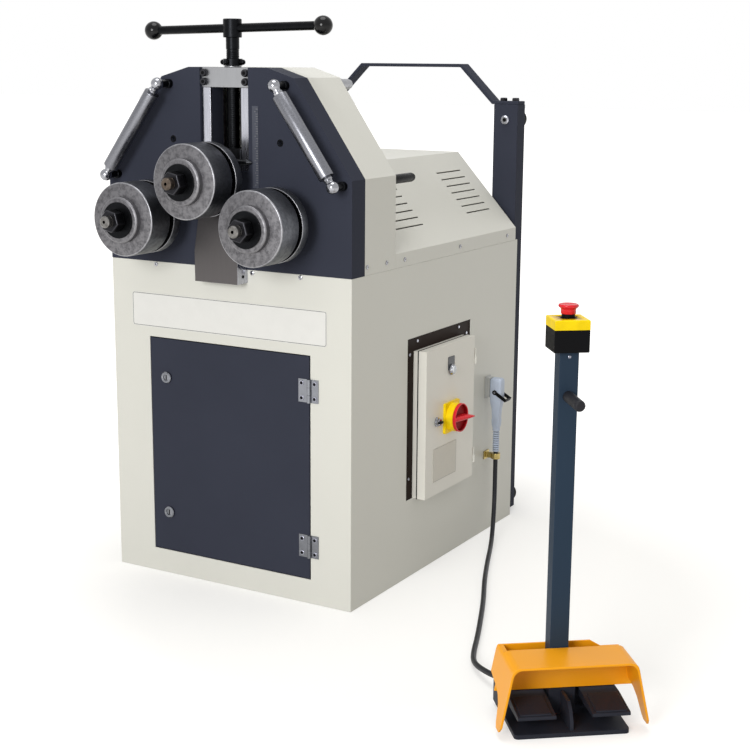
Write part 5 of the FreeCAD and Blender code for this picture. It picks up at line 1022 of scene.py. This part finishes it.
# %% [markdown]
# ## Floor, light and background
# The floor is plain and pale. Near the object it glows less, so that a soft shadow shows, and further out it
# is as white as the background. The world lights the object evenly, a large soft lamp brightens the front
# and a fainter one hangs above. The camera and the reflections see a white world, while its light stays at a
# plain level.

# %% Floor
FLOOR_HALF, FLOOR_Z, SHADOW_MIDDLE = 30, -0.0002, (0.35, -0.2, 0.0)
WHITE, WARM = (1.0, 1.0, 1.0, 1.0), (1.0, 0.97, 0.91, 1.0)


def seen_rays(tree):
    """1 for what the camera sees, also in a reflection or through glass, and 0 for light on its way."""
    rays = add_node(tree, "ShaderNodeLightPath")
    seen = rays.outputs["Is Camera Ray"]
    for kind in ("Is Glossy Ray", "Is Transmission Ray"):
        seen = add_node(tree, "ShaderNodeMath", {0: seen, 1: rays.outputs[kind]}, operation="MAXIMUM")
    return seen

floor_mesh = bpy.data.meshes.new("floor")
corners = ((-1, -1), (1, -1), (1, 1), (-1, 1))
floor_mesh.from_pydata([(x * FLOOR_HALF, y * FLOOR_HALF, FLOOR_Z) for x, y in corners], [], [(0, 1, 2, 3)])
floor = add_piece("floor", floor_mesh)
floor_finish, shader = new_finish("pale_studio_floor", "#C6C5C2", 0.9)
tree = shader.id_data
away = add_node(tree, "ShaderNodeVectorMath", {
    0: add_node(tree, "ShaderNodeTexCoord").outputs["Object"], 1: SHADOW_MIDDLE}, operation="DISTANCE")
level = add_node(tree, "ShaderNodeMapRange", {
    "Value": away.outputs["Value"], "From Min": 0.6, "From Max": 1.7, "To Min": 0.45, "To Max": 1.0})
glow = add_node(tree, "ShaderNodeMath", {0: seen_rays(tree), 1: level}, operation="MULTIPLY")
feed(shader, {"Emission Color": WHITE, "Emission Strength": glow})
floor_mesh.materials.append(floor_finish)
print("floor", 2 * FLOOR_HALF, "m wide")

# %% World and lamps
WORLD_LEVEL = 0.5
world = bpy.data.worlds.new("studio")
bpy.context.scene.world = world
world.use_nodes = True
sky = world.node_tree
seen = seen_rays(sky)
tint = add_node(sky, "ShaderNodeMix", {0: seen, 6: WARM, 7: WHITE}, data_type="RGBA")
level = add_node(sky, "ShaderNodeMapRange", {"Value": seen, "To Min": WORLD_LEVEL, "To Max": 1.0})
feed(sky.nodes["Background"], {"Color": tint.outputs[2], "Strength": level})
LAMPS = (("key_lamp", (0.8, -4.6, 1.7), (0.3, -0.3, 0.6), 1.8, 112),
         ("top_lamp", (0.2, -0.5, 4.2), (0.2, -0.1, 0.6), 2.4, 60))
for name, place, target, size, watts in LAMPS:
    lamp = bpy.data.lights.new(name, "AREA")
    lamp.shape, lamp.size, lamp.energy = "DISK", size, watts
    light = add_piece(name, lamp)
    light.location = place
    light.rotation_euler = (Vector(target) - Vector(place)).to_track_quat("-Z", "Y").to_euler()
bpy.context.scene.view_settings.view_transform = "Standard"
print("world", WORLD_LEVEL)
